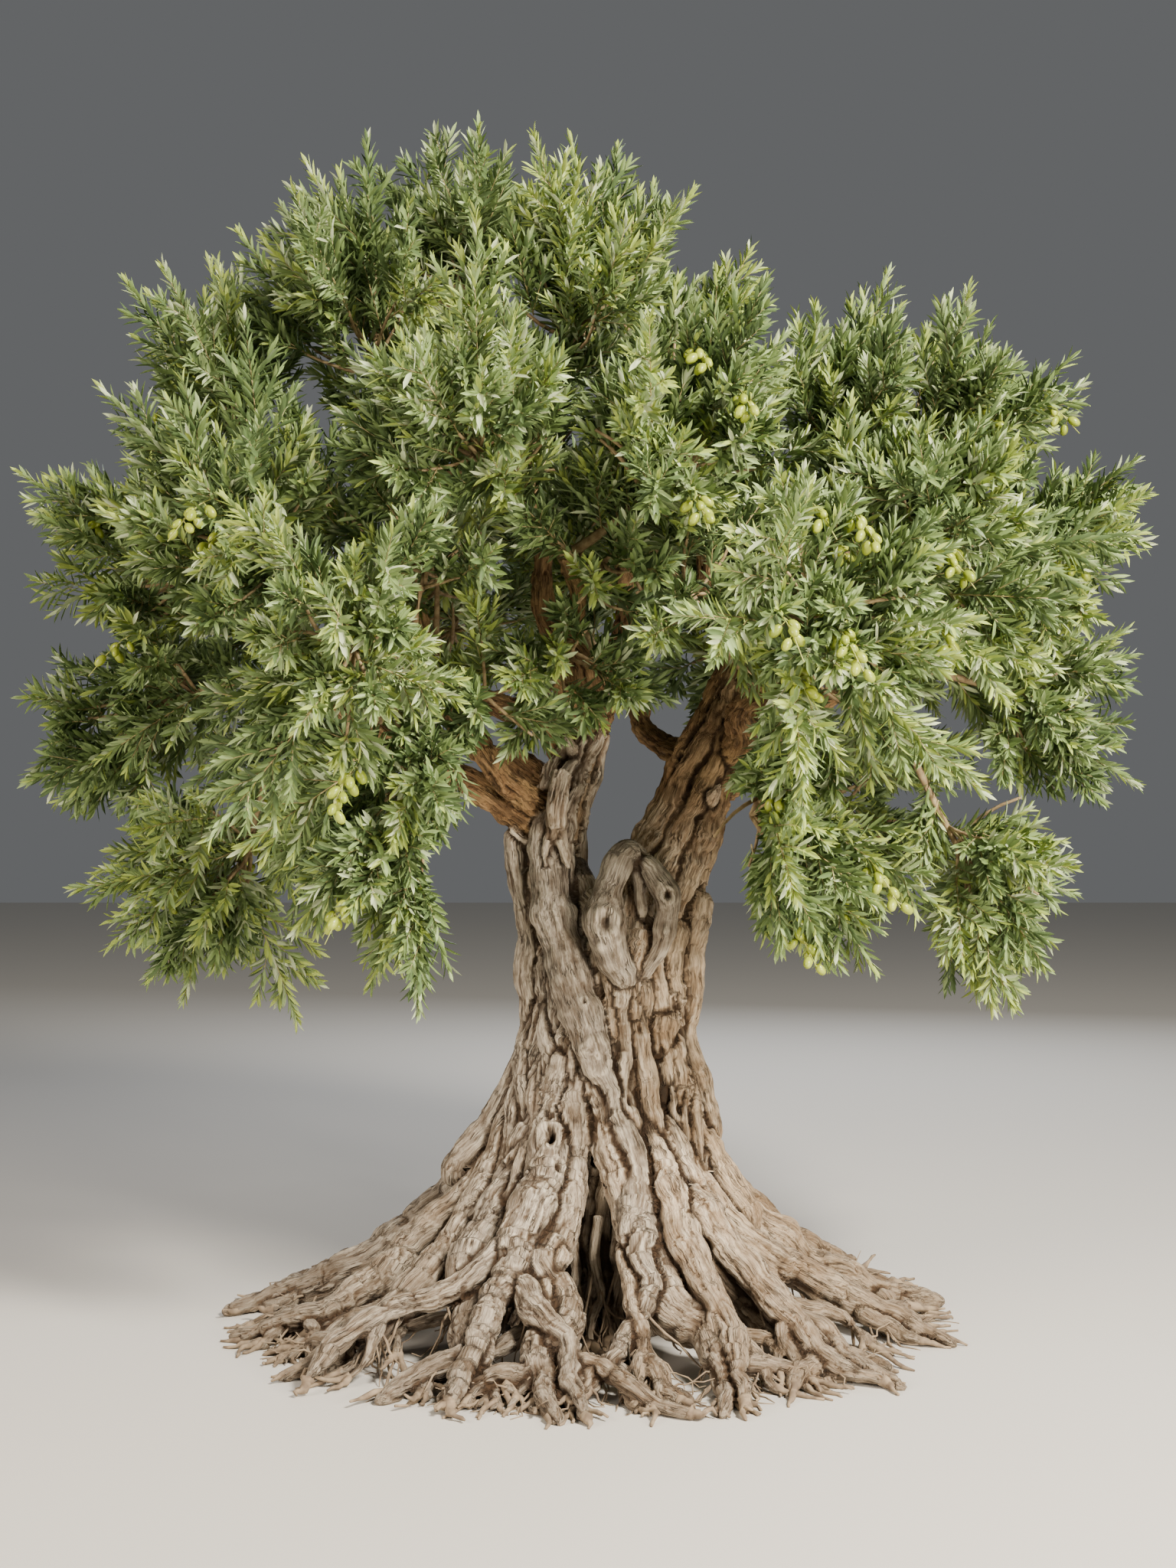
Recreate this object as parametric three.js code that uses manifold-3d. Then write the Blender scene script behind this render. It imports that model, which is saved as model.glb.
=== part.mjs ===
// An old olive tree: a flared, twisted trunk that forks into two leaders, with surface roots,
// boughs and masses of foliage, each a closed solid of its own.
// Millimetres, +Z up. The origin is in the middle of the trunk's flat foot, at ground level.
// Turns are seen from above: 0 is the tree's right (+X), 90 its back (+Y), 180 its left.
import * as THREE from "three";
import { mergeVertices } from "three/addons/utils/BufferGeometryUtils.js";
import Module from "manifold-3d";

const wasm = await Module();
wasm.setup();

// ---------- Driving dimensions ----------

const GAP = 0.4; // clearance between solids that meet
const FOLIAGE_GAP = 6; // clearance between the spaces of two masses, and round a limb

const TRUNK = {
  top: 1235, // where the trunk divides
  waist: 184, // radius between the flare and the fork
  flare: 900, // how far the roots spread beyond the waist at the ground
  flareHeight: 255, // height over which the flare falls to a third
  ridgeLimit: 700, // the trunk's own ridges stop here, and the roots go on
  valleyWaist: 166, // the same two radii between the ridges
  valleyFlare: 210,
  ringHeights: [215, 290, 380, 490, 630, 780, 930, 1080, 1180], // above the ridges' ends
  dome: [[0, 0.86], [40, 0.5]], // rings over the top: how far above it, and the share of its width
  twist: -34, // degrees that a ridge turns from the ground to the fork
  lean: 74, // sideways shift of the trunk's middle at the fork
  widen: 0.26, // extra width from side to side at the fork
};

const ROOT = {
  stations: [590, 690, 790, 890], // distances out at which a root's course is set
  tipRadius: 13,
  sway: 9, // degrees from side to side
  ease: 0.85, // below 1, a root thins sooner
  fingerAt: 0.5, // where its side root leaves it
  fingerTurn: 15, // degrees between the tips of the two
  fingerReach: 0.88, // reach of the side root, as a share of the root's
  fingerRadius: 0.75, // its radius, in the same way
};

// Surface roots: turn, reach from the origin, radius where each leaves the trunk.
const ROOTS = [
  [1, 1000, 66],
  [27, 930, 56],
  [55, 940, 60],
  [88, 900, 54],
  [122, 930, 60],
  [153, 920, 56],
  [180, 1010, 62],
  [202, 1000, 54],
  [222, 1030, 60],
  [243, 1010, 66],
  [264, 1040, 62],
  [291, 1030, 62],
  [316, 1080, 76],
  [341, 1030, 60],
];

// The two leaders: points along each, and its radius at both ends.
const LEADERS = {
  leader_left: {
    points: [
      [-35, 0, 900],
      [-85, -5, 1180],
      [-98, 5, 1330],
      [-45, 20, 1500],
      [25, 35, 1680],
    ],
    radii: [118, 66],
  },
  leader_right: {
    points: [
      [125, 0, 900],
      [180, 10, 1150],
      [262, 25, 1345],
      [335, 40, 1530],
      [405, 45, 1700],
      [470, 40, 1850],
    ],
    radii: [142, 72],
  },
};

const BOUGH = {
  tipRadius: 24,
  knuckleRadius: 32, // the ball at its tip, round which the stems of its masses stand
  waver: 0.22, // how far it strays from a straight line, as a share of its length
  sag: 0.45, // how much more of that is down than up
};

// Boughs: the limb that each grows from and where along it, then the turn, distance out and height
// of its tip, its radius at the foot, and the masses that it carries, each as the turn, distance out
// and height of its middle and the radius of its space.
const BOUGHS = [
  { name: "bough_left", from: "leader_left", at: 0.5, tip: [182, 780, 1790], radius: 52,
    masses: [[179, 1150, 2070, 420], [181, 1180, 1700, 410], [176, 970, 1250, 410]] },
  { name: "bough_left_high", from: "leader_left", at: 0.72, tip: [178, 560, 2150], radius: 42,
    masses: [[177, 980, 2450, 450], [184, 590, 2700, 440]] },
  { name: "bough_left_front", from: "leader_left", at: 0.62, tip: [224, 700, 1790], radius: 44,
    masses: [[210, 1010, 2080, 400], [236, 1020, 1800, 400], [229, 690, 1420, 380]] },
  { name: "bough_left_back", from: "leader_left", at: 0.68, tip: [136, 740, 1830], radius: 44,
    masses: [[148, 1050, 2100, 420], [121, 1040, 1900, 400], [142, 980, 1500, 390]] },
  { name: "bough_crown", from: "leader_left", at: 0.97, tip: [184, 170, 2330], radius: 46,
    masses: [[172, 330, 2870, 430], [262, 140, 2720, 400]] },
  { name: "bough_crown_front", from: "leader_left", at: 0.9, tip: [262, 420, 2060], radius: 34,
    masses: [[246, 680, 2290, 400], [288, 660, 2250, 400]] },
  { name: "bough_crown_back", from: "leader_left", at: 0.93, tip: [76, 430, 2180], radius: 40,
    masses: [[112, 690, 2480, 420], [62, 600, 2470, 410]] },
  { name: "bough_right", from: "leader_right", at: 0.52, tip: [359, 800, 1800], radius: 54,
    masses: [[359, 1180, 2100, 420], [1, 1190, 1720, 410], [357, 1040, 1260, 410]] },
  { name: "bough_right_high", from: "leader_right", at: 0.97, tip: [2, 690, 2130], radius: 44,
    masses: [[3, 1020, 2400, 420], [5, 680, 2440, 400]] },
  { name: "bough_right_front", from: "leader_right", at: 0.66, tip: [318, 740, 1780], radius: 46,
    masses: [[330, 1000, 2080, 400], [302, 1000, 1870, 400], [309, 660, 1390, 390]] },
  { name: "bough_right_back", from: "leader_right", at: 0.72, tip: [43, 790, 1840], radius: 44,
    masses: [[34, 1080, 2090, 420], [60, 1030, 2100, 400], [39, 1050, 1360, 390]] },
  { name: "bough_right_crown", from: "leader_right", at: 0.9, tip: [352, 330, 2210], radius: 36,
    masses: [[30, 200, 2650, 400]] },
  { name: "bough_back", from: "leader_right", at: 0.6, tip: [86, 640, 1850], radius: 40,
    masses: [[92, 1000, 2070, 400]] },
];

// The crown keeps inside an egg: an ellipsoid whose rise and drop from its middle differ.
const CROWN = { middle: [-10, 0, 1950], across: 1545, deep: 1340, rise: 1365, drop: 1580 };

const FOLIAGE = {
  crownHeart: [0, 0, 1550], // masses face away from here
  twigs: 5, // twigs of one mass
  tries: 9, // directions that its twigs are tried in
  shortened: [1, 0.75, 0.55], // shares of its length at which a twig or spray is tried
  twigLeaves: [0.74, 1], // where sprays stand along a twig, 1 being its tip
  stemLeaves: [0.5, 0.7], // where they stand along the stem
  twigFlank: 0.8, // how far sprays turn out from a twig, as the tangent of the angle
  stemFlank: 1.6, // and from the stem
  spread: 1.5, // how much of the ball round the stem's end the twigs cover, 2 being all of it
  stem: [9, 8], // radius of the stem at its foot and end
  twig: [9, 4.5], // radius of a twig at its foot and tip
  twigReach: 0.5, // length of a twig, as a share of the mass's radius
  leafReach: 0.6, // length of a spray, in the same way
  leafWidth: 0.37, // width of a spray, as a share of its length
  leafThick: 0.15, // thickness of a spray, in the same way
  leafBelly: 0.42, // where a spray is widest
  leafSunk: 4, // how deep a spray's foot is sunk past a twig's axis or end
  core: 0.3, // radius of the core across its stem, as a share of the mass's radius
  coreAlong: [0.22, 1.38], // where the core starts and ends along the stem, 1 being its end
  hangsBelow: 1350, // masses lower than this hang
  risesAbove: 2550, // masses higher than this reach up
  hang: -0.5, // how far a hanging twig's tip drops, as a share of its length
  rise: 0.3, // how far a rising twig's tip lifts
};

// Olives hang in clusters from a twig, in one mass of every few.
const OLIVE = { length: 42, width: 27, stalk: 3.5, drop: 74, perCluster: 3, everyMass: 5, alongTwig: 0.62 };

const MATERIALS = {
  bark: new THREE.MeshStandardMaterial({ color: 0xab9474, roughness: 0.9, metalness: 0 }),
  root: new THREE.MeshStandardMaterial({ color: 0xb39f82, roughness: 0.9, metalness: 0 }),
  bough: new THREE.MeshStandardMaterial({ color: 0x8a7053, roughness: 0.85, metalness: 0 }),
  foliage: new THREE.MeshStandardMaterial({ color: 0x7a8756, roughness: 0.55, metalness: 0 }),
};

// ---------- Small helpers ----------

const UP = new THREE.Vector3(0, 0, 1);
const GOLDEN_TURN = Math.PI * (3 - Math.sqrt(5));
const vector = ([x, y, z]) => new THREE.Vector3(x, y, z);
const radians = THREE.MathUtils.degToRad;
const { lerp, smoothstep, clamp } = THREE.MathUtils;

// The point at a turn in degrees, a distance out from the origin's axis, and a height.
function polar(turn, out, up) {
  return new THREE.Vector3(out * Math.cos(radians(turn)), out * Math.sin(radians(turn)), up);
}

// A seeded generator of numbers from 0 to 1.
function seeded(seed) {
  let state = seed >>> 0;
  return () => {
    state = (state + 0x6d2b79f5) >>> 0;
    let mixed = Math.imul(state ^ (state >>> 15), state | 1);
    mixed ^= mixed + Math.imul(mixed ^ (mixed >>> 7), mixed | 61);
    return ((mixed ^ (mixed >>> 14)) >>> 0) / 4294967296;
  };
}

// The distance between two line segments.
function segmentDistance(a0, a1, b0, b1) {
  const u = a1.clone().sub(a0);
  const v = b1.clone().sub(b0);
  const w = a0.clone().sub(b0);
  const uu = u.dot(u);
  const uv = u.dot(v);
  const vv = v.dot(v);
  const scale = uu * vv - uv * uv;
  let s = scale > 1e-9 ? clamp((uv * v.dot(w) - vv * u.dot(w)) / scale, 0, 1) : 0;
  const t = vv > 1e-9 ? clamp((uv * s + v.dot(w)) / vv, 0, 1) : 0;
  s = uu > 1e-9 ? clamp((uv * t - u.dot(w)) / uu, 0, 1) : 0;
  return a0.clone().addScaledVector(u, s).distanceTo(b0.clone().addScaledVector(v, t));
}

// ---------- Solids ----------

// A closed geometry as a manifold solid, and back.
function solidOf(geometry) {
  const bare = new THREE.BufferGeometry();
  bare.setAttribute("position", geometry.getAttribute("position"));
  bare.setIndex(geometry.index);
  const merged = mergeVertices(bare, 1e-4);
  return new wasm.Manifold(
    new wasm.Mesh({
      numProp: 3,
      vertProperties: merged.getAttribute("position").array,
      triVerts: new Uint32Array(merged.index.array),
    }),
  );
}

function geometryOf(solid) {
  const { vertProperties, triVerts } = solid.getMesh();
  const geometry = new THREE.BufferGeometry();
  geometry.setAttribute("position", new THREE.BufferAttribute(vertProperties, 3));
  geometry.setIndex(new THREE.BufferAttribute(triVerts, 1));
  geometry.computeVertexNormals();
  return geometry;
}

const joined = (solids) => solids.reduce((sum, next) => sum.add(next));

// A cut can leave scraps, so only the largest body is kept.
function largest(solid) {
  return solid.decompose().reduce((best, next) => (next.volume() > best.volume() ? next : best));
}

// Rings of equally many points, joined by a skin, with a fan over each end: from a corner where the
// rings are round, or else from the middle. The points run anticlockwise when seen from the last ring.
function loftGeometry(rings, isRound = true) {
  const sides = rings[0].length;
  const positions = [];
  const index = [];
  rings.forEach((ring) => ring.forEach((point) => positions.push(...point)));
  for (let ring = 0; ring < rings.length - 1; ring++) {
    for (let side = 0; side < sides; side++) {
      const next = (side + 1) % sides;
      const low = ring * sides;
      const high = low + sides;
      index.push(low + side, low + next, high + next, low + side, high + next, high + side);
    }
  }
  const addCap = (ring, offset, outward) => {
    let hub = offset;
    if (!isRound) {
      hub = positions.length / 3;
      const middle = ring.reduce((sum, point) => sum.add(point), new THREE.Vector3());
      positions.push(...middle.divideScalar(sides));
    }
    for (let side = isRound ? 1 : 0; side < (isRound ? sides - 1 : sides); side++) {
      const next = (side + 1) % sides;
      if (outward) index.push(hub, offset + side, offset + next);
      else index.push(hub, offset + next, offset + side);
    }
  };
  addCap(rings[0], 0, false);
  addCap(rings[rings.length - 1], (rings.length - 1) * sides, true);
  const geometry = new THREE.BufferGeometry();
  geometry.setAttribute("position", new THREE.Float32BufferAttribute(positions, 3));
  geometry.setIndex(index);
  return geometry;
}

// A tapering limb along a curve: radiusAt gives its radius at each share of its length. It can be
// grown on all sides, its ends too.
function limbSolid(curve, radiusAt, rings, sides, grow = 0) {
  const frames = curve.computeFrenetFrames(rings, false);
  const made = [];
  for (let ring = 0; ring <= rings; ring++) {
    const beyond = { 0: -grow, [rings]: grow }[ring] ?? 0;
    const centre = curve.getPointAt(ring / rings).addScaledVector(frames.tangents[ring], beyond);
    const radius = radiusAt(ring / rings) + grow * 1.15;
    made.push(
      Array.from({ length: sides }, (_, side) => {
        const angle = (2 * Math.PI * side) / sides;
        return centre
          .clone()
          .addScaledVector(frames.normals[ring], radius * Math.cos(angle))
          .addScaledVector(frames.binormals[ring], radius * Math.sin(angle));
      }),
    );
  }
  return solidOf(loftGeometry(made));
}

const smoothCurve = (points) => new THREE.CatmullRomCurve3(points, false, "centripetal");
const tapered = (start, end) => (share) => lerp(start, end, share);

// ---------- Trunk ----------

// How far the ridges of the root flare stand from the trunk's middle at a height.
const flareAt = (height) => TRUNK.waist + TRUNK.flare * Math.exp(-height / TRUNK.flareHeight);

// The height at which the flare passes a distance from the middle.
const flareHeightAt = (out) => -TRUNK.flareHeight * Math.log((out - TRUNK.waist) / TRUNK.flare);

// The trunk's skin is a loft. In each ring, every root has the two shoulders of its ridge and the
// valley beside it, which twist round the trunk as they rise.
function trunkRing(height, shrink) {
  const ridge = Math.min(flareAt(height), TRUNK.ridgeLimit);
  const valley = TRUNK.valleyWaist + TRUNK.valleyFlare * Math.exp(-height / TRUNK.flareHeight);
  const rise = height / TRUNK.top;
  const lean = TRUNK.lean * rise;
  const widen = 1 + TRUNK.widen * smoothstep(rise, 0.7, 1);
  return ROOTS.flatMap(([turn, , thick], k) => {
    const next = ROOTS[(k + 1) % ROOTS.length][0] + (k + 1 === ROOTS.length ? 360 : 0);
    const shoulder = Math.min(THREE.MathUtils.radToDeg(thick / ridge), (next - turn) * 0.3);
    const around = [
      [turn - shoulder, ridge],
      [turn + shoulder, ridge],
      [(turn + next) / 2, valley],
    ];
    return around.map(([angle, out]) => {
      const point = polar(angle + TRUNK.twist * rise, out * shrink, height);
      return new THREE.Vector3(point.x * widen + lean, point.y, point.z);
    });
  });
}

// A level ring with each side moved outwards, and the whole ring upwards unless it is the foot.
function grownRing(ring, grow) {
  const outward = ring.map((point, k) => {
    const side = ring[(k + 1) % ring.length].clone().sub(point);
    return new THREE.Vector3(side.y, -side.x, 0).normalize();
  });
  return ring.map((point, k) => {
    const before = outward[(k + ring.length - 1) % ring.length];
    const mitre = before.clone().add(outward[k]).divideScalar(1 + before.dot(outward[k]));
    const lift = point.z > 0 ? grow : 0;
    return point.clone().addScaledVector(mitre, grow).addScaledVector(UP, lift);
  });
}

function trunkSkin(grow) {
  const heights = [0, flareHeightAt(TRUNK.ridgeLimit), ...TRUNK.ringHeights];
  const rings = heights.map((height) => trunkRing(height, 1));
  TRUNK.dome.forEach(([above, shrink]) => rings.push(trunkRing(TRUNK.top + above, shrink)));
  return solidOf(loftGeometry(rings.map((ring) => grownRing(ring, grow)), false));
}

// The pale strand that runs down across the front of the trunk from the left leader, thins below the
// waist and ends in a broken stub over the hollow between two roots.
function frontStrand(grow) {
  const course = smoothCurve(
    [
      [-118, -70, 1330],
      [-100, -135, 1160],
      [-60, -165, 1000],
      [-15, -185, 840],
      [25, -205, 710],
      [70, -245, 580],
      [100, -290, 450],
      [112, -330, 300],
    ].map(vector),
  );
  const radiusAt = (share) => lerp(76, 36, smoothstep(share, 0.35, 0.8));
  return limbSolid(course, radiusAt, 9, 6, grow);
}

// The burl in the fork: a thick limb that grew back down on itself and left an eye.
function burl(grow) {
  const loop = smoothCurve(
    [
      [95, -120, 890],
      [72, -195, 985],
      [56, -215, 1075],
      [74, -205, 1175],
      [104, -165, 1262],
      [165, -150, 1245],
      [208, -170, 1160],
      [204, -175, 1060],
      [170, -130, 950],
    ].map(vector),
  );
  const radiusAt = (share) => 44 + 20 * Math.exp(-(((share - 0.24) / 0.14) ** 2));
  return limbSolid(loop, radiusAt, 12, 6, grow);
}

const trunkSolid = (grow = 0) => joined([trunkSkin(grow), frontStrand(grow), burl(grow)]);

// ---------- Surface roots ----------

const rootRadius = (thick, share) => lerp(thick, ROOT.tipRadius, Math.pow(share, ROOT.ease));

// A root comes out of its ridge, runs down along the flare's line and out along the ground, swaying to
// either side, with its underside just in the ground.
function rootCourse(turn, reach, thick, sway) {
  const stations = ROOT.stations.filter((out) => out < reach - 50);
  const points = [...stations, reach].map((out) => {
    const share = (out - stations[0]) / (reach - stations[0]);
    const radius = rootRadius(thick, share);
    const height = Math.max(flareHeightAt(out) - radius * 0.9, radius * 0.45);
    return polar(turn + sway * Math.sin(share * 4.2), out, height);
  });
  return smoothCurve(points);
}

function rootSolid([turn, reach, thick], k, grow = 0) {
  const random = seeded(100 + k);
  const course = rootCourse(turn, reach, thick, (random() - 0.5) * ROOT.sway);
  const main = limbSolid(course, (share) => rootRadius(thick, share), 5, 5, grow);
  const start = course.getPointAt(ROOT.fingerAt);
  const foot = rootRadius(thick, ROOT.fingerAt) * ROOT.fingerRadius;
  const away = (k % 2 ? 1 : -1) * ROOT.fingerTurn * (0.8 + 0.4 * random());
  const tip = polar(turn + away, reach * ROOT.fingerReach, ROOT.tipRadius / 2);
  const finger = limbSolid(smoothCurve([start, tip]), tapered(foot, ROOT.tipRadius * 0.7), 1, 4, grow);
  return main.add(finger);
}

// ---------- Leaders and boughs ----------

const limbs = {}; // every limb's course and radius, by name

for (const [name, { points, radii }] of Object.entries(LEADERS)) {
  limbs[name] = { course: smoothCurve(points.map(vector)), radii, rings: 6, sides: 8 };
}

// A bough leaves its leader towards its tip, sags and wavers a little.
BOUGHS.forEach(({ name, from, at, tip, radius }, k) => {
  const random = seeded(300 + k);
  const start = limbs[from].course.getPointAt(at);
  const end = polar(...tip);
  const waver = BOUGH.waver * start.distanceTo(end);
  const points = [0, 0.25, 0.5, 0.75, 1].map((share) => {
    const stray = new THREE.Vector3(random() - 0.5, random() - 0.5, random() * 0.5 - BOUGH.sag);
    return start.clone().lerp(end, share).addScaledVector(stray, waver * Math.sin(Math.PI * share));
  });
  limbs[name] = { course: smoothCurve(points), radii: [radius, BOUGH.tipRadius], rings: 4, sides: 5, from };
});

function limb(name, grow = 0) {
  const { course, radii, rings, sides, from } = limbs[name];
  const shaft = limbSolid(course, tapered(...radii), rings, sides, grow);
  if (!from) return shaft;
  const knuckle = new THREE.SphereGeometry(BOUGH.knuckleRadius + grow * 1.7, 5, 3);
  return shaft.add(solidOf(knuckle.translate(...course.getPointAt(1))));
}

// ---------- Masses of foliage ----------

const masses = BOUGHS.flatMap(({ name, masses: rows }) =>
  rows.map(([turn, out, up, radius], m) => ({
    name: name.replace("bough", "foliage") + "_" + "abc"[m],
    bough: name,
    foot: limbs[name].course.getPointAt(1),
    middle: polar(turn, out, up),
    radius,
  })),
);

// A mass keeps to its own side of a plane between it and each other mass.
function fences(mass) {
  return masses
    .filter((other) => other !== mass)
    .map((other) => {
      const across = other.middle.clone().sub(mass.middle);
      const share = mass.radius / (mass.radius + other.radius);
      const point = mass.middle.clone().addScaledVector(across, share);
      return { point, normal: across.normalize() };
    });
}

// What a mass's twigs and sprays have to miss, as segments with a radius: the limbs, the stems of
// the other masses and the trunk.
const limbSegments = Object.values(limbs).flatMap(({ course, radii, rings }) => {
  const steps = rings * 2;
  return Array.from({ length: steps }, (_, k) => ({
    from: course.getPointAt(k / steps),
    to: course.getPointAt((k + 1) / steps),
    radius: lerp(...radii, k / steps),
  }));
});
const stemSegments = masses.map((mass) => ({
  mass,
  from: mass.foot,
  to: mass.middle,
  radius: FOLIAGE.stem[0],
}));
const trunkSegment = {
  from: new THREE.Vector3(),
  to: vector([TRUNK.lean, 0, TRUNK.top]),
  radius: TRUNK.waist * (1 + TRUNK.widen) + FOLIAGE_GAP,
};

function obstacles(mass) {
  const others = stemSegments.filter((stem) => stem.mass !== mass);
  return [...limbSegments, trunkSegment, ...others];
}

function isInCrown(point) {
  const [x, y, z] = point.clone().sub(vector(CROWN.middle));
  const height = z > 0 ? CROWN.rise : CROWN.drop;
  return (x / CROWN.across) ** 2 + (y / CROWN.deep) ** 2 + (z / height) ** 2 < 1;
}

// Whether a convex piece from one point to another, with its corners, keeps to its mass's space.
function isClear(space, { from, to, corners, halfWidth }) {
  const isInside = (corner) =>
    isInCrown(corner) &&
    space.fences.every(({ point, normal }) => corner.clone().sub(point).dot(normal) < -FOLIAGE_GAP / 2);
  const misses = (limbPiece) =>
    segmentDistance(from, to, limbPiece.from, limbPiece.to) > limbPiece.radius + halfWidth + FOLIAGE_GAP;
  return corners.every(isInside) && space.obstacles.every(misses);
}

// A blade of eight faces, widest a little before its middle, that stands for a spray of leaves.
function spray(foot, heading, across, length) {
  const width = (FOLIAGE.leafWidth * length) / 2;
  const thick = (FOLIAGE.leafThick * length) / 2;
  const belly = foot.clone().addScaledVector(heading, length * FOLIAGE.leafBelly);
  const face = heading.clone().cross(across);
  const tip = foot.clone().addScaledVector(heading, length);
  const rim = [
    belly.clone().addScaledVector(across, width),
    belly.clone().addScaledVector(face, thick),
    belly.clone().addScaledVector(across, -width),
    belly.clone().addScaledVector(face, -thick),
  ];
  const positions = [foot, ...rim, tip].flatMap((point) => [...point]);
  const index = rim.flatMap((_, k) => {
    const here = k + 1;
    const next = ((k + 1) % 4) + 1;
    return [0, next, here, 5, here, next];
  });
  const geometry = new THREE.BufferGeometry();
  geometry.setAttribute("position", new THREE.Float32BufferAttribute(positions, 3));
  geometry.setIndex(index);
  return { geometry, from: foot, to: tip, corners: [...rim, tip], halfWidth: width * 0.8 };
}

// How far the tips of a mass's twigs lift or drop, as a share of their length.
function bendAt(height) {
  const share = smoothstep(height, FOLIAGE.hangsBelow, FOLIAGE.risesAbove);
  return lerp(FOLIAGE.hang, FOLIAGE.rise, share);
}

// The first of some shares of its full length at which a piece keeps to its mass's space.
function fitted(space, shares, makePiece) {
  return shares.map(makePiece).find((piece) => isClear(space, piece));
}

// Twigs are tried evenly round the way that the mass faces, by the golden angle, and the first ones
// that fit are kept.
function twigsOf(mass, space, random) {
  const { middle, foot, radius } = mass;
  const facing = middle.clone().sub(vector(FOLIAGE.crownHeart)).normalize();
  const across = facing.clone().cross(UP).normalize();
  const over = across.clone().cross(facing);
  const phase = random() * 2 * Math.PI;
  const stemHeading = middle.clone().sub(foot).normalize();
  const twigs = [];
  for (let k = 0; k < FOLIAGE.tries && twigs.length < FOLIAGE.twigs; k++) {
    const along = 1 - (FOLIAGE.spread * (k + 0.5)) / FOLIAGE.tries;
    const round = Math.sqrt(1 - along * along);
    const angle = phase + k * GOLDEN_TURN;
    const heading = facing
      .clone()
      .multiplyScalar(along)
      .addScaledVector(across, round * Math.cos(angle))
      .addScaledVector(over, round * Math.sin(angle))
      .addScaledVector(UP, bendAt(middle.z))
      .normalize();
    const reach = radius * FOLIAGE.twigReach * (0.88 + 0.24 * random());
    const start = middle.clone().addScaledVector(stemHeading, -radius * 0.12 * (k % 3));
    const twig = fitted(space, FOLIAGE.shortened, (share) => {
      const at = (along) => start.clone().addScaledVector(heading, reach * share * along);
      return { at, heading, from: at(0.3), to: at(1), corners: [at(1)], halfWidth: FOLIAGE.twig[0] };
    });
    if (twig) twigs.push(twig);
  }
  return twigs;
}

const twigSolid = ({ at }) => limbSolid(smoothCurve([at(0), at(1)]), tapered(...FOLIAGE.twig), 1, 3);

// Sprays stand along a twig or stem, by turns on either side, and one points on from its tip.
function spraysOf(twig, places, flank, mass, space, random) {
  const droop = bendAt(mass.middle.z) * 0.5;
  const turned = random() * Math.PI;
  return places
    .map((place, k) => {
      const across = twig.heading.clone().cross(UP).normalize().applyAxisAngle(twig.heading, turned);
      const turnedOut = place === 1 ? 0 : k % 2 ? flank : -flank;
      const heading = twig.heading
        .clone()
        .addScaledVector(across, turnedOut)
        .addScaledVector(UP, droop)
        .normalize();
      const side = heading.clone().cross(UP).normalize().applyAxisAngle(heading, 0.5 + 2 * random());
      const foot = twig.at(place).addScaledVector(heading, -FOLIAGE.leafSunk);
      const length = mass.radius * FOLIAGE.leafReach * (0.9 + 0.2 * random());
      return fitted(space, FOLIAGE.shortened, (share) => spray(foot, heading, side, length * share));
    })
    .filter(Boolean);
}

// The core is a bud along the stem whose corners are drawn in from the fences.
function coreSolid({ foot, middle, radius }, space) {
  const [start, end] = FOLIAGE.coreAlong.map((share) => foot.clone().lerp(middle, share));
  const centre = start.clone().lerp(end, 0.5);
  const shoulder = start.clone().lerp(end, 0.27);
  const clearances = space.obstacles.map(
    (piece) => segmentDistance(shoulder, end, piece.from, piece.to) - piece.radius - FOLIAGE_GAP,
  );
  const across = Math.min(radius * FOLIAGE.core, ...clearances);
  const heading = middle.clone().sub(foot).normalize();
  const bud = new THREE.IcosahedronGeometry(1, 0)
    .scale(across, across, start.distanceTo(end) / 2)
    .applyQuaternion(new THREE.Quaternion().setFromUnitVectors(UP, heading));
  const position = bud.getAttribute("position");
  for (let k = 0; k < position.count; k++) {
    const offset = new THREE.Vector3().fromBufferAttribute(position, k);
    const shares = space.fences.map(({ point, normal }) => {
      const room = point.clone().sub(centre).dot(normal) - FOLIAGE_GAP;
      const wanted = offset.dot(normal);
      return wanted > room ? room / wanted : 1;
    });
    offset.multiplyScalar(Math.min(1, ...shares)).add(centre);
    position.setXYZ(k, ...offset);
  }
  return solidOf(bud);
}

// Olives round the end of a stalk that hangs from a twig, or nothing where they would touch a limb.
function oliveCluster(twig, space) {
  const top = twig.at(OLIVE.alongTwig);
  const bottom = top.clone().addScaledVector(UP, -OLIVE.drop);
  const lowest = bottom.clone().addScaledVector(UP, -OLIVE.length);
  const room = { from: top, to: lowest, corners: [top, lowest], halfWidth: OLIVE.width * 1.5 };
  if (!isClear(space, room)) return [];
  const stalk = limbSolid(smoothCurve([top, bottom]), () => OLIVE.stalk, 1, 3);
  const olives = Array.from({ length: OLIVE.perCluster }, (_, k) => {
    const angle = (2 * Math.PI * k) / OLIVE.perCluster;
    const out = OLIVE.width * 0.42;
    const olive = new THREE.IcosahedronGeometry(OLIVE.width / 2, 0);
    olive.scale(1, 1, OLIVE.length / OLIVE.width);
    olive.translate(out * Math.cos(angle), out * Math.sin(angle), -k * OLIVE.length * 0.3);
    return solidOf(olive.translate(...bottom));
  });
  return [stalk, ...olives];
}

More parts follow.
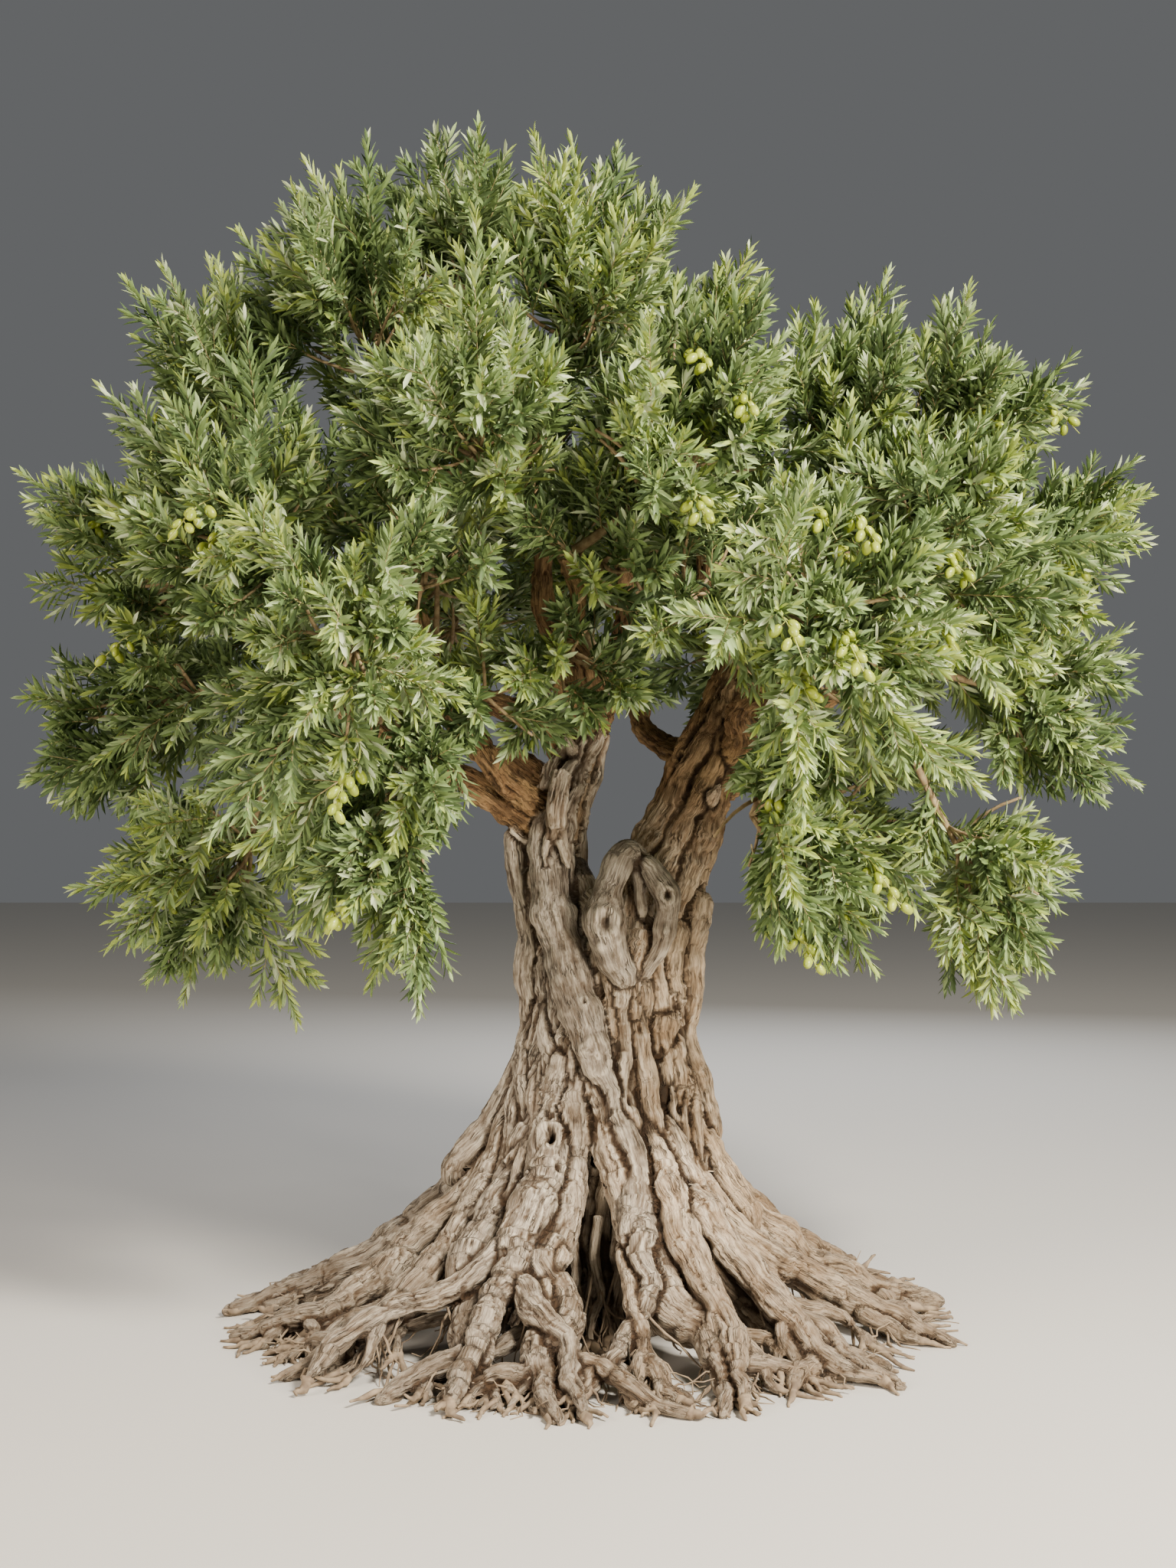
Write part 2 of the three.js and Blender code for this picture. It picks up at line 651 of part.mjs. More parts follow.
function massSolid(mass, k, boughGrown) {
  const random = seeded(500 + k);
  const { foot, middle } = mass;
  const space = { fences: fences(mass), obstacles: obstacles(mass) };
  const stem = {
    at: (share) => foot.clone().lerp(middle, share),
    heading: middle.clone().sub(foot).normalize(),
  };
  const parts = [
    limbSolid(smoothCurve([foot, middle]), tapered(...FOLIAGE.stem), 1, 4),
    coreSolid(mass, space),
  ];
  const addSprays = (twig, places, flank) => {
    const sprays = spraysOf(twig, places, flank, mass, space, random);
    sprays.forEach(({ geometry }) => parts.push(solidOf(geometry)));
  };
  addSprays(stem, FOLIAGE.stemLeaves, FOLIAGE.stemFlank);
  twigsOf(mass, space, random).forEach((twig, t) => {
    parts.push(twigSolid(twig));
    addSprays(twig, FOLIAGE.twigLeaves, FOLIAGE.twigFlank);
    if (t === 1 && k % OLIVE.everyMass === 1) parts.push(...oliveCluster(twig, space));
  });
  return largest(joined(parts).subtract(boughGrown));
}

// ---------- The tree ----------

const tree = new THREE.Group();

function addPart(name, solid, material) {
  const mesh = new THREE.Mesh(geometryOf(solid), material);
  mesh.name = name;
  tree.add(mesh);
}

addPart("trunk", trunkSolid(), MATERIALS.bark);

// What is left of a solid clear of others that are already grown by the gap.
const clearOf = (solid, others) => largest(others.reduce((rest, other) => rest.subtract(other), solid));

const trunkGrown = trunkSolid(GAP);
const ground = solidOf(new THREE.BoxGeometry(3000, 3000, 400).translate(0, 0, -200));
const underfoot = [trunkGrown, ground];
ROOTS.forEach((row, k) => {
  const name = "root_" + String(k + 1).padStart(2, "0");
  addPart(name, clearOf(rootSolid(row, k), underfoot), MATERIALS.root);
  underfoot.push(rootSolid(row, k, GAP));
});

const carriers = [trunkGrown];
const addLimb = (name, material) => {
  addPart(name, clearOf(limb(name), carriers), material);
  carriers.push(limb(name, GAP));
};
Object.keys(LEADERS).forEach((name) => addLimb(name, MATERIALS.bark));
BOUGHS.forEach(({ name }) => addLimb(name, MATERIALS.bough));

masses.forEach((mass, k) => {
  addPart(mass.name, massSolid(mass, k, limb(mass.bough, GAP)), MATERIALS.foliage);
});

export default tree;
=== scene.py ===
"""An old olive tree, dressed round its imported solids: twisted bark on trunk, roots and boughs, then
twigs, leaves and olives that grow on from the boughs by the rule that the solids were made by.

Metres, +Z up. The origin is in the middle of the trunk's foot, at ground level. Turns are seen from
above: 0 is the tree's right (+X), 90 its back (+Y), 180 its left and 270 its front.
"""

import math

import bpy
import numpy as np
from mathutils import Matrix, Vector, kdtree


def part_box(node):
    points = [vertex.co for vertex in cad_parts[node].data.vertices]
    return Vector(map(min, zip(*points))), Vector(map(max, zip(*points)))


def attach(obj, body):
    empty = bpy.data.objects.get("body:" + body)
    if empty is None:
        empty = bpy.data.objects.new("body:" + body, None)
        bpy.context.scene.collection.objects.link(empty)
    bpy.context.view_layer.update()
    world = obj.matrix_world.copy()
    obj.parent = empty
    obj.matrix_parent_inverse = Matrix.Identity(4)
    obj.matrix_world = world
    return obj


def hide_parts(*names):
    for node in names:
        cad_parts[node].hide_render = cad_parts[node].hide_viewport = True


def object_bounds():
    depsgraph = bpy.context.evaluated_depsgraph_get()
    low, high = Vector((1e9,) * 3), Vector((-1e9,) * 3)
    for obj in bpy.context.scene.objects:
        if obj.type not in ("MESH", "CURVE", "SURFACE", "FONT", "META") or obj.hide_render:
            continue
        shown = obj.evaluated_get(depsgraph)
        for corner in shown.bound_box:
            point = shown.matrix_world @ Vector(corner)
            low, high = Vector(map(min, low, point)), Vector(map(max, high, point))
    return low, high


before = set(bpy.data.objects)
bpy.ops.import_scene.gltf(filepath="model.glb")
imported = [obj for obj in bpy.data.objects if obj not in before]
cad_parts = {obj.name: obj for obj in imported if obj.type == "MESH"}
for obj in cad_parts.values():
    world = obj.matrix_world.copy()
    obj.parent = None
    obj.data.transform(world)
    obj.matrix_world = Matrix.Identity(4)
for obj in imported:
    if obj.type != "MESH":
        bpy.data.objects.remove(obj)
frame_box = [list(corner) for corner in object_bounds()]

MM = 0.001
UP = np.array([0.0, 0.0, 1.0])
GOLDEN_TURN = math.pi * (3 - math.sqrt(5))


# ---------- Small helpers ----------


def deselect():
    """Leaves nothing selected, so that an operator acts on the new piece alone."""
    if bpy.context.object and bpy.context.object.mode != "OBJECT":
        bpy.ops.object.mode_set(mode="OBJECT")
    bpy.ops.object.select_all(action="DESELECT")


def unit(vectors):
    """Vectors at length 1."""
    vectors = np.asarray(vectors, float)
    return vectors / np.maximum(np.linalg.norm(vectors, axis=-1, keepdims=True), 1e-12)


def polar(turn, out, up):
    """The point at a turn in degrees, a distance out from the origin's axis, and a height."""
    angle = np.radians(turn)
    return np.stack(np.broadcast_arrays(out * np.cos(angle), out * np.sin(angle), up), -1)


def mix(low, high, share):
    return low + (high - low) * share


def smoothstep(value, low, high):
    share = np.clip((value - low) / (high - low), 0, 1)
    return share * share * (3 - 2 * share)


def turned(vectors, axes, angles):
    """Vectors turned about axes of length 1."""
    cos, sin = np.cos(angles)[..., None], np.sin(angles)[..., None]
    along = np.sum(vectors * axes, -1, keepdims=True)
    return vectors * cos + np.cross(axes, vectors) * sin + axes * along * (1 - cos)


def seeded(seed):
    """The source's own generator of numbers from 0 to 1."""
    word = 0xFFFFFFFF
    state = seed & word

    def draw():
        nonlocal state
        state = (state + 0x6D2B79F5) & word
        mixed = ((state ^ (state >> 15)) * (state | 1)) & word
        mixed ^= (mixed + (mixed ^ (mixed >> 7)) * (mixed | 61)) & word
        return (mixed ^ (mixed >> 14)) / 4294967296

    return draw


class Course:
    """A smooth curve through points, the centripetal one that the solids follow."""

    def __init__(self, points):
        points = np.asarray(points, float)
        first = 2 * points[0] - points[1]
        last = 2 * points[-1] - points[-2]
        self.points = np.vstack([first, points, last])
        steps = np.linspace(0, 1, 201)
        samples = self.raw(steps)
        runs = np.linalg.norm(np.diff(samples, axis=0), axis=1)
        self.lengths = np.concatenate([[0], np.cumsum(runs)])
        self.steps = steps
        self.length = self.lengths[-1]

    def raw(self, steps):
        """Points by the curve's own parameter, from 0 to 1."""
        spans = len(self.points) - 3
        place = np.clip(np.asarray(steps, float) * spans, 0, spans - 1e-9)
        span = place.astype(int)
        share = (place - span)[..., None]
        p0, p1, p2, p3 = (self.points[span + k] for k in range(4))
        pairs = ((p0, p1), (p1, p2), (p2, p3))
        gaps = [np.linalg.norm(b - a, axis=-1, keepdims=True) ** 0.5 for a, b in pairs]
        d0, d1, d2 = (np.maximum(gap, 1e-4) for gap in gaps)
        t1 = ((p1 - p0) / d0 - (p2 - p0) / (d0 + d1) + (p2 - p1) / d1) * d1
        t2 = ((p2 - p1) / d1 - (p3 - p1) / (d1 + d2) + (p3 - p2) / d2) * d1
        c2 = -3 * p1 + 3 * p2 - 2 * t1 - t2
        c3 = 2 * p1 - 2 * p2 + t1 + t2
        return p1 + share * (t1 + share * (c2 + share * c3))

    def at(self, shares):
        """Points by the share of the length."""
        steps = np.interp(np.asarray(shares, float) * self.length, self.lengths, self.steps)
        return self.raw(steps)

    def heading(self, share):
        return unit(self.at(min(share + 0.01, 1.0)) - self.at(max(share - 0.01, 0.0)))


# ---------- Noise for the bark's relief ----------


def dice(cells, salt):
    """A fixed number from 0 to 1 for each whole-number cell."""
    cells = cells.astype(np.int64).astype(np.uint32)
    word = cells[..., 0] * np.uint32(0x8DA6B343)
    word = word ^ (cells[..., 1] * np.uint32(0xD8163841))
    word = word ^ (cells[..., 2] * np.uint32(0xCB1AB31F)) ^ np.uint32((salt * 0x9E3779B1) & 0xFFFFFFFF)
    word = (word ^ (word >> np.uint32(15))) * np.uint32(0x2C1B3C6D)
    word = (word ^ (word >> np.uint32(12))) * np.uint32(0x297A2D39)
    word = word ^ (word >> np.uint32(15))
    return word.astype(float) / 4294967296


def cloud(points, salt=0):
    """Smooth noise from -1 to 1 with features of size 1."""
    cells = np.floor(points)
    share = points - cells
    share = share * share * share * (share * (share * 6 - 15) + 10)
    total = np.zeros(len(points))
    for corner in range(8):
        offset = np.array([corner & 1, (corner >> 1) & 1, (corner >> 2) & 1])
        weight = np.prod(np.where(offset, share, 1 - share), axis=1)
        total += weight * dice(cells + offset, salt)
    return total * 2 - 1


def billow(points, salt=0, octaves=3):
    """Clouds on clouds, from about -1 to 1."""
    total, weight = 0, 0
    for octave in range(octaves):
        total = total + cloud(points * 2**octave, salt + octave) * 0.5**octave
        weight += 0.5**octave
    return total / weight


def plates(points, salt=0):
    """For scattered plates of size about 1: how far a point is from the crack between two of them,
    and a number of the plate's own."""
    cells = np.floor(points)
    nearest = np.full(len(points), 9.0)
    second = np.full(len(points), 9.0)
    own = np.zeros(len(points))
    for k in range(27):
        offset = np.array([k % 3 - 1, k // 3 % 3 - 1, k // 9 - 1])
        cell = cells + offset
        seeds = np.stack([dice(cell, salt + axis) for axis in range(3)], -1)
        away = np.linalg.norm(cell + seeds - points, axis=1)
        closer = away < nearest
        second = np.where(closer, nearest, np.minimum(second, away))
        own = np.where(closer, seeds[:, 0], own)
        nearest = np.where(closer, away, nearest)
    return second - nearest, own


# ---------- The tree's measures, as in the solids ----------

TRUNK_TOP = 1.235
WAIST, FLARE, FLARE_HEIGHT = 0.184, 0.900, 0.255
VALLEY_WAIST, VALLEY_FLARE = 0.166, 0.210
TWIST, LEAN, WIDEN = -34, 0.074, 0.26
RIDGE_HEIGHTS = [0.215, 0.29, 0.38, 0.49, 0.63, 0.78, 0.93, 1.06]

ROOT_STATIONS = [0.59, 0.69, 0.79, 0.89]
ROOT_TIP, ROOT_SWAY, ROOT_EASE = 0.013, 9, 0.85
FINGER_AT, FINGER_TURN, FINGER_REACH, FINGER_RADIUS = 0.5, 15, 0.88, 0.75

# Surface roots: turn, reach from the origin, radius where each leaves the trunk.
ROOTS = [
    (1, 1.000, 0.066),
    (27, 0.930, 0.056),
    (55, 0.940, 0.060),
    (88, 0.900, 0.054),
    (122, 0.930, 0.060),
    (153, 0.920, 0.056),
    (180, 1.010, 0.062),
    (202, 1.000, 0.054),
    (222, 1.030, 0.060),
    (243, 1.010, 0.066),
    (264, 1.040, 0.062),
    (291, 1.030, 0.062),
    (316, 1.080, 0.076),
    (341, 1.030, 0.060),
]

# The two leaders: points along each, and its radius at both ends.
LEADERS = {
    "leader_left": (
        [(-35, 0, 900), (-85, -5, 1180), (-98, 5, 1330), (-45, 20, 1500), (25, 35, 1680)],
        (0.118, 0.066),
    ),
    "leader_right": (
        [(125, 0, 900), (180, 10, 1150), (262, 25, 1345), (335, 40, 1530), (405, 45, 1700), (470, 40, 1850)],
        (0.142, 0.072),
    ),
}

BOUGH_TIP, BOUGH_WAVER, BOUGH_SAG = 0.024, 0.22, 0.45

# Boughs: name, the limb that each grows from and where along it, the turn, distance out and height of
# its tip, its radius at the foot, and the masses that it carries, each as the turn, distance out and
# height of its middle and the radius of its space. Lengths are in millimetres.
BOUGHS = [
    ("left", "leader_left", 0.5, (182, 780, 1790), 52,
     [(179, 1150, 2070, 420), (181, 1180, 1700, 410), (176, 970, 1250, 410)]),
    ("left_high", "leader_left", 0.72, (178, 560, 2150), 42,
     [(177, 980, 2450, 450), (184, 590, 2700, 440)]),
    ("left_front", "leader_left", 0.62, (224, 700, 1790), 44,
     [(210, 1010, 2080, 400), (236, 1020, 1800, 400), (229, 690, 1420, 380)]),
    ("left_back", "leader_left", 0.68, (136, 740, 1830), 44,
     [(148, 1050, 2100, 420), (121, 1040, 1900, 400), (142, 980, 1500, 390)]),
    ("crown", "leader_left", 0.97, (184, 170, 2330), 46,
     [(172, 330, 2870, 430), (262, 140, 2720, 400)]),
    ("crown_front", "leader_left", 0.9, (262, 420, 2060), 34,
     [(246, 680, 2290, 400), (288, 660, 2250, 400)]),
    ("crown_back", "leader_left", 0.93, (76, 430, 2180), 40,
     [(112, 690, 2480, 420), (62, 600, 2470, 410)]),
    ("right", "leader_right", 0.52, (359, 800, 1800), 54,
     [(359, 1180, 2100, 420), (1, 1190, 1720, 410), (357, 1040, 1260, 410)]),
    ("right_high", "leader_right", 0.97, (2, 690, 2130), 44,
     [(3, 1020, 2400, 420), (5, 680, 2440, 400)]),
    ("right_front", "leader_right", 0.66, (318, 740, 1780), 46,
     [(330, 1000, 2080, 400), (302, 1000, 1870, 400), (309, 660, 1390, 390)]),
    ("right_back", "leader_right", 0.72, (43, 790, 1840), 44,
     [(34, 1080, 2090, 420), (60, 1030, 2100, 400), (39, 1050, 1360, 390)]),
    ("right_crown", "leader_right", 0.9, (352, 330, 2210), 36,
     [(30, 200, 2650, 400)]),
    ("back", "leader_right", 0.6, (86, 640, 1850), 40,
     [(92, 1000, 2070, 400)]),
]

# The crown keeps inside an egg: an ellipsoid whose rise and drop from its middle differ.
CROWN_MIDDLE = np.array([-0.010, 0, 1.950])
CROWN_ACROSS, CROWN_DEEP, CROWN_RISE, CROWN_DROP = 1.545, 1.340, 1.365, 1.580


def ridge_at(height):
    """How far the ridges of the root flare stand from the trunk's middle at a height."""
    return WAIST + FLARE * np.exp(-np.asarray(height, float) / FLARE_HEIGHT)


def flare_height_at(out):
    """The height at which the flare passes a distance from the middle."""
    return -FLARE_HEIGHT * math.log((out - WAIST) / FLARE)


def on_trunk(turn, height, out):
    """A point of the twisted, leaning trunk."""
    rise = height / TRUNK_TOP
    x, y, z = polar(turn + TWIST * rise, out, height)
    widen = 1 + WIDEN * smoothstep(rise, 0.7, 1)
    return np.array([x * widen + LEAN * rise, y, z])


# ---------- Limbs ----------

limbs = {}  # every limb's course, and its radius at both ends
for name, (points, radii) in LEADERS.items():
    limbs[name] = (Course(np.array(points) * MM), radii)

for k, (name, leader, at, tip, radius, rows) in enumerate(BOUGHS):
    draw = seeded(300 + k)
    start = limbs[leader][0].at(at)
    end = polar(tip[0], tip[1] * MM, tip[2] * MM)
    waver = BOUGH_WAVER * np.linalg.norm(end - start)
    points = []
    for share in (0, 0.25, 0.5, 0.75, 1):
        stray = np.array([draw() - 0.5, draw() - 0.5, draw() * 0.5 - BOUGH_SAG])
        points.append(mix(start, end, share) + stray * waver * math.sin(math.pi * share))
    limbs["bough_" + name] = (Course(points), (radius * MM, BOUGH_TIP))


# ---------- Strands of wood ----------
# An old olive's trunk is a bundle of strands. Each one runs from a root up a ridge of the flare, turns
# with the trunk, and goes on into one of the leaders.

STRAND_PITCH = 0.012  # between two places along a strand
STRAY_LENGTH = 0.1  # over which a strand strays to one side and back
TIP_ROUND = 0.02  # the length over which an end is rounded
strands = []


def add_strand(points, radii, tone, wander=0.006, lumps=0.12, tips=(False, False), fluting=0.8):
    """One tapering strand along points. Its radii are spread evenly along it. Tone runs from 0, old
    grey wood, over 1, warm tan wood, to 2, the brown bark of the limbs. Fluting is how deep its folds
    are, from 0, smooth, to 1."""
    course = points if isinstance(points, Course) else Course(points)
    count = max(int(course.length / STRAND_PITCH), 6)
    shares = np.linspace(0, 1, count)
    run = shares * course.length
    salt = len(strands) * 7
    ends = np.minimum(smoothstep(shares, 0, 0.12), 1 - smoothstep(shares, 0.92, 1))
    track = np.stack([run / STRAY_LENGTH, np.full(count, salt * 0.37), np.zeros(count)], -1)
    stray = np.stack([billow(track, salt + axis, 2) for axis in range(3)], -1)
    line = course.at(shares) + stray * (wander * ends)[:, None]
    thick = np.interp(shares, np.linspace(0, 1, len(radii)), radii)
    thick = thick * (1 + lumps * billow(track * 1.3 + 50, salt + 3, 3))
    if tips[0]:
        thick = thick * np.sqrt(np.clip(run / TIP_ROUND, 0.15, 1))
    if tips[1]:
        thick = thick * np.sqrt(np.clip((course.length - run) / TIP_ROUND, 0.15, 1))
    strands.append({"line": line, "thick": thick, "tone": tone, "run": run, "fluting": fluting})
    return strands[-1]


def even(points, values, count=40):
    """Values given at points, spread evenly along the course through them."""
    course = Course(points)
    spans = len(points) - 1
    shares = [np.interp(k / spans, course.steps, course.lengths / course.length) for k in range(spans + 1)]
    return np.interp(np.linspace(0, 1, count), shares, values)


ROOT_END, ROOT_FULLNESS = 0.018, 1.3
ROOT_BEND = 0.012  # how far to a side the short bends of the roots go
RIDGE_SINK = 0.9  # how far under a ridge's line its strand runs, as a share of the strand's radius
LEADER_OUT = 0.62  # how far out of a leader's middle its strands run, as a share of its radius


def root_radius(thick, share):
    return mix(thick, ROOT_END, share**ROOT_FULLNESS)


def root_points(turn, reach, thick, sway):
    """A root's course: down along the flare's line, then out along the ground."""
    stations = [out for out in ROOT_STATIONS if out < reach - 0.05] + [reach]
    points = []
    for out in stations:
        share = (out - stations[0]) / (reach - stations[0])
        radius = mix(thick, ROOT_TIP, share**ROOT_EASE)
        height = max(flare_height_at(out) - radius * 0.9, radius * 0.45)
        points.append(polar(turn + sway * math.sin(share * 4.2), out, height))
    return points


def level_turned(way, angle):
    """A level heading turned by an angle in degrees."""
    cos, sin = math.cos(math.radians(angle)), math.sin(math.radians(angle))
    return np.array([way[0] * cos - way[1] * sin, way[0] * sin + way[1] * cos])


def leader_point(name, share, turn):
    """A point in a leader, a share of its radius out from its middle line."""
    course, (foot, tip) = limbs[name]
    heading = course.heading(share)
    across = unit(np.cross([0, 1, 0], heading))
    over = np.cross(heading, across)
    angle = math.radians(turn)
    out = mix(foot, tip, share) * LEADER_OUT
    return course.at(share) + (across * math.cos(angle) + over * math.sin(angle)) * out


def main_strand(k):
    """From the tip of root k, up its ridge of the flare and round the trunk, into a leader."""
    turn, reach, thick = ROOTS[k]
    draw = seeded(100 + k)
    course = root_points(turn, reach, thick, (draw() - 0.5) * ROOT_SWAY)
    points = course[::-1]
    near = ROOT_STATIONS[0]
    radii = [root_radius(thick, (np.linalg.norm(p[:2]) - near) / (reach - near)) for p in points]
    for number, point in enumerate(points):
        point[:2] += level_turned(unit(point[:2]), 90) * ROOT_BEND * math.sin(k * 2.3 + number * 2.6)
        radii[number] *= 1 + 0.10 * math.sin(k * 1.3 + number * 2.9)
    for height in RIDGE_HEIGHTS:
        radius = thick * np.interp(height, [0.2, 0.5, 0.8, 1.1], [0.9, 0.95, 0.84, 0.78])
        depth = RIDGE_SINK * radius + 0.014 * math.sin(k * 2.4 + height * 7)
        points.append(on_trunk(turn + 5 * math.sin(height * 6 + k * 1.7), height, ridge_at(height) - depth))
        radii.append(radius)
    top = (turn + TWIST) % 360
    if 90 < top < 270:
        name, facing = "leader_left", 180 + (top - 188) * 2.2
        heights, tone = np.linspace(0.42, 0.97, 6), 0.25
    else:
        top = top - 360 if top > 180 else top
        name, facing = "leader_right", 5 + (top - 5) * 1.9
        heights, tone = np.linspace(0.34, 0.97, 7), 1.0
    foot, tip = limbs[name][1]
    for share in heights:
        points.append(leader_point(name, share, facing + 40 * share))
        radii.append(mix(foot, tip, share) * 0.44)
    tone += 0.25 * math.sin(k * 1.9)
    return add_strand(points, even(points, radii), tone, wander=0.014, lumps=0.16, tips=(True, True))


main_strands = [main_strand(k) for k in range(len(ROOTS))]
roll = np.random.default_rng(11)

root_ends = []  # where the roots thin out: a place, the level heading and the radius there
SIDE_ROOTS_REACH, FINGERS_REACH = 0.95, 1.06


def kept_short(start, way, length, most):
    """A root's length, made shorter where it would end too far out."""
    near, far = np.linalg.norm(start[:2]), np.linalg.norm(start[:2] + way * length)
    return length if far < most else length * np.clip((most - near) / max(far - near, 0.001), 0.3, 1)


def side_root(parent, at, bearing, length, foot, tip, drop=0.3):
    """A root that leaves another one sideways, draws level with it and runs down to the ground."""
    start = parent["line"][int(at * (len(parent["line"]) - 1))]
    heading = level_turned(unit(start[:2]), bearing)
    length = kept_short(start, heading, length, SIDE_ROOTS_REACH)
    points = [start]
    for share in (0.25, 0.5, 0.75, 1.0):
        way = level_turned(heading, -bearing * 0.55 * share + roll.uniform(-9, 9))
        flat = start[:2] + way * length * share
        height = max(start[2] * (1 - share) ** (1 + drop), mix(foot, tip, share) * 0.6)
        points.append(np.array([flat[0], flat[1], height]))
    radii = [foot, foot * 0.92, foot * 0.7, mix(foot, tip, 0.6), tip]
    strand = add_strand(points, radii, parent["tone"], wander=0.012, lumps=0.16, tips=(False, True))
    root_ends.append((strand["line"][-5], unit((strand["line"][-1] - strand["line"][-6])[:2]), tip))
    return strand


# Each root carries the side root that its solid has, and forks again before its tip.
for k, (turn, reach, thick) in enumerate(ROOTS):
    draw = seeded(100 + k)
    sway = (draw() - 0.5) * ROOT_SWAY
    course = Course(root_points(turn, reach, thick, sway))
    away = (1 if k % 2 else -1) * FINGER_TURN * (0.8 + 0.4 * draw())
    start = course.at(FINGER_AT)
    tip = polar(turn + away, reach * FINGER_REACH, ROOT_TIP / 2)
    foot = root_radius(thick, FINGER_AT) * FINGER_RADIUS
    middle = mix(start, tip, 0.5) + UP * 0.014
    radii = [foot, foot * 0.85, foot * 0.6, ROOT_TIP * 0.7]
    finger = add_strand([start, middle, tip], radii, main_strands[k]["tone"], 0.014, 0.16, (False, True))
    root_ends.append((finger["line"][-7], unit(tip[:2] - start[:2]), ROOT_TIP))
    main_line = main_strands[k]["line"]
    root_ends.append((main_line[8], unit((main_line[0] - main_line[9])[:2]), ROOT_TIP))
    side = 1 if away > 0 else -1
    # The main strand runs from its tip, so a small share of its length is far out.
    side_root(main_strands[k], 0.075, side * 36, roll.uniform(0.14, 0.22), 0.022, 0.008)
    side_root(main_strands[k], 0.125, -side * 38, roll.uniform(0.24, 0.34), 0.030, 0.009)
    side_root(finger, 0.6, side * 32, roll.uniform(0.10, 0.15), 0.017, 0.007)

# Between the ridges lower strands run down, turn more or less than the ridges do, and end as thinner
# roots. Their heads dive back into the trunk. The hollow in the front has none.
FRONT_HOLLOW = (268, 288)
for k, (turn, reach, thick) in enumerate(ROOTS):
    following = ROOTS[(k + 1) % len(ROOTS)][0] + (360 if k + 1 == len(ROOTS) else 0)
    between = (turn + following) / 2 + roll.uniform(-2, 2)
    reach = reach * roll.uniform(0.74, 0.9)
    thick = roll.uniform(0.026, 0.036)
    slew = roll.uniform(-26, 22)
    if FRONT_HOLLOW[0] < between < FRONT_HOLLOW[1]:
        continue
    points, radii = [], []
    for out in (reach, reach * 0.85, reach * 0.7):
        share = (out - reach * 0.7) / (reach * 0.3)
        radius = mix(thick * 0.8, 0.013, share)
        height = max((flare_height_at(out) - radius) * 0.7, radius * 0.4)
        points.append(polar(between + 5 * math.sin(share * 5 + k), out, height))
        radii.append(radius)
    for height in (0.2, 0.28, 0.37, 0.5, 0.66, 0.82, 0.98):
        radius = np.interp(height, [0.2, 0.5, 1.0], [thick * 1.15, thick, thick * 0.75])
        out = ridge_at(height) * np.interp(height, [0.2, 0.4, 0.8], [0.72, 0.86, 1.0]) - radius * 0.75
        points.append(on_trunk(between + slew * (height / TRUNK_TOP) ** 1.3, height, out))
        radii.append(radius)
    points.append(points[-1] * [0.5, 0.5, 1] + [0.02, 0, 0.1])
    radii.append(thick * 0.5)
    tone = 0.2 if math.cos(math.radians(between)) < -0.1 else 0.9
    strand = add_strand(points, even(points, radii), tone, wander=0.016, lumps=0.24, tips=(True, False))
    root_ends.append((strand["line"][3], unit((strand["line"][0] - strand["line"][6])[:2]), 0.010))
    side_root(strand, 0.09, 34 if k % 2 else -34, roll.uniform(0.14, 0.22), 0.018, 0.007)

# In the hollow at the front, thin strands hang down from the heart of the trunk. In mm: their places
# across and towards the back, the height of their heads, and radii.
HANGING = [
    (-40, -250, 470, 26),
    (8, -230, 440, 32),
    (52, -262, 430, 24),
    (88, -300, 400, 30),
    (24, -320, 330, 16),
]
for x, y, high, thick in np.array(HANGING) * MM:
    steps = np.linspace(1, 0, 6)
    outward = (1 - steps) ** 2 * roll.uniform(0.06, 0.16)
    points = []
    for out, step in zip(outward, steps):
        points.append(np.array([x + roll.uniform(-0.012, 0.012), y - out, high * step + 0.008]))
    radii = thick * np.array([1, 0.9, 0.75, 0.6])
    strand = add_strand(points, radii, 0.5, 0.014, 0.3, (False, True))
    root_ends.append((strand["line"][-3], np.array([0.0, -1.0]), 0.010))

# Thin strands cross over the others on the trunk and the flare, at the sides and the back.
CROSSING = 26
GOLDEN_DEGREES = 137.5
for k in range(CROSSING):
    turn = k * GOLDEN_DEGREES + 20
    slew = (1 if k % 2 else -1) * roll.uniform(14, 46)
    low, high = roll.uniform(0.16, 0.5), roll.uniform(0.75, 1.12)
    thick = roll.uniform(0.018, 0.032)
    if math.sin(math.radians(turn + slew / 2 + TWIST / 2)) < -0.6:
        continue
    points = []
    for share in np.linspace(0, 1, 7):
        height = mix(low, high, share)
        out = ridge_at(height) - thick * (0.35 + 2.2 * (abs(share - 0.5) * 2) ** 3)
        out = out * (0.86 if height < 0.3 else 0.97)
        points.append(on_trunk(turn + slew * share + 6 * math.sin(share * 7 + k), height, out))
    tone = 0.2 if math.cos(math.radians(turn)) < -0.1 else 0.9
    add_strand(points, [thick * 0.7, thick, thick * 1.2, thick, thick * 0.8], tone, 0.012, 0.28)


def on_front(x, height, depth):
    """The point on the front of the trunk at x, so far in from the line of its ridges."""
    out = ridge_at(height) - depth
    widen = 1 + WIDEN * smoothstep(height / TRUNK_TOP, 0.7, 1)
    side = np.clip((x - LEAN * height / TRUNK_TOP) / widen / out, -0.985, 0.985)
    return np.array([x, -out * math.sqrt(1 - side * side), height])


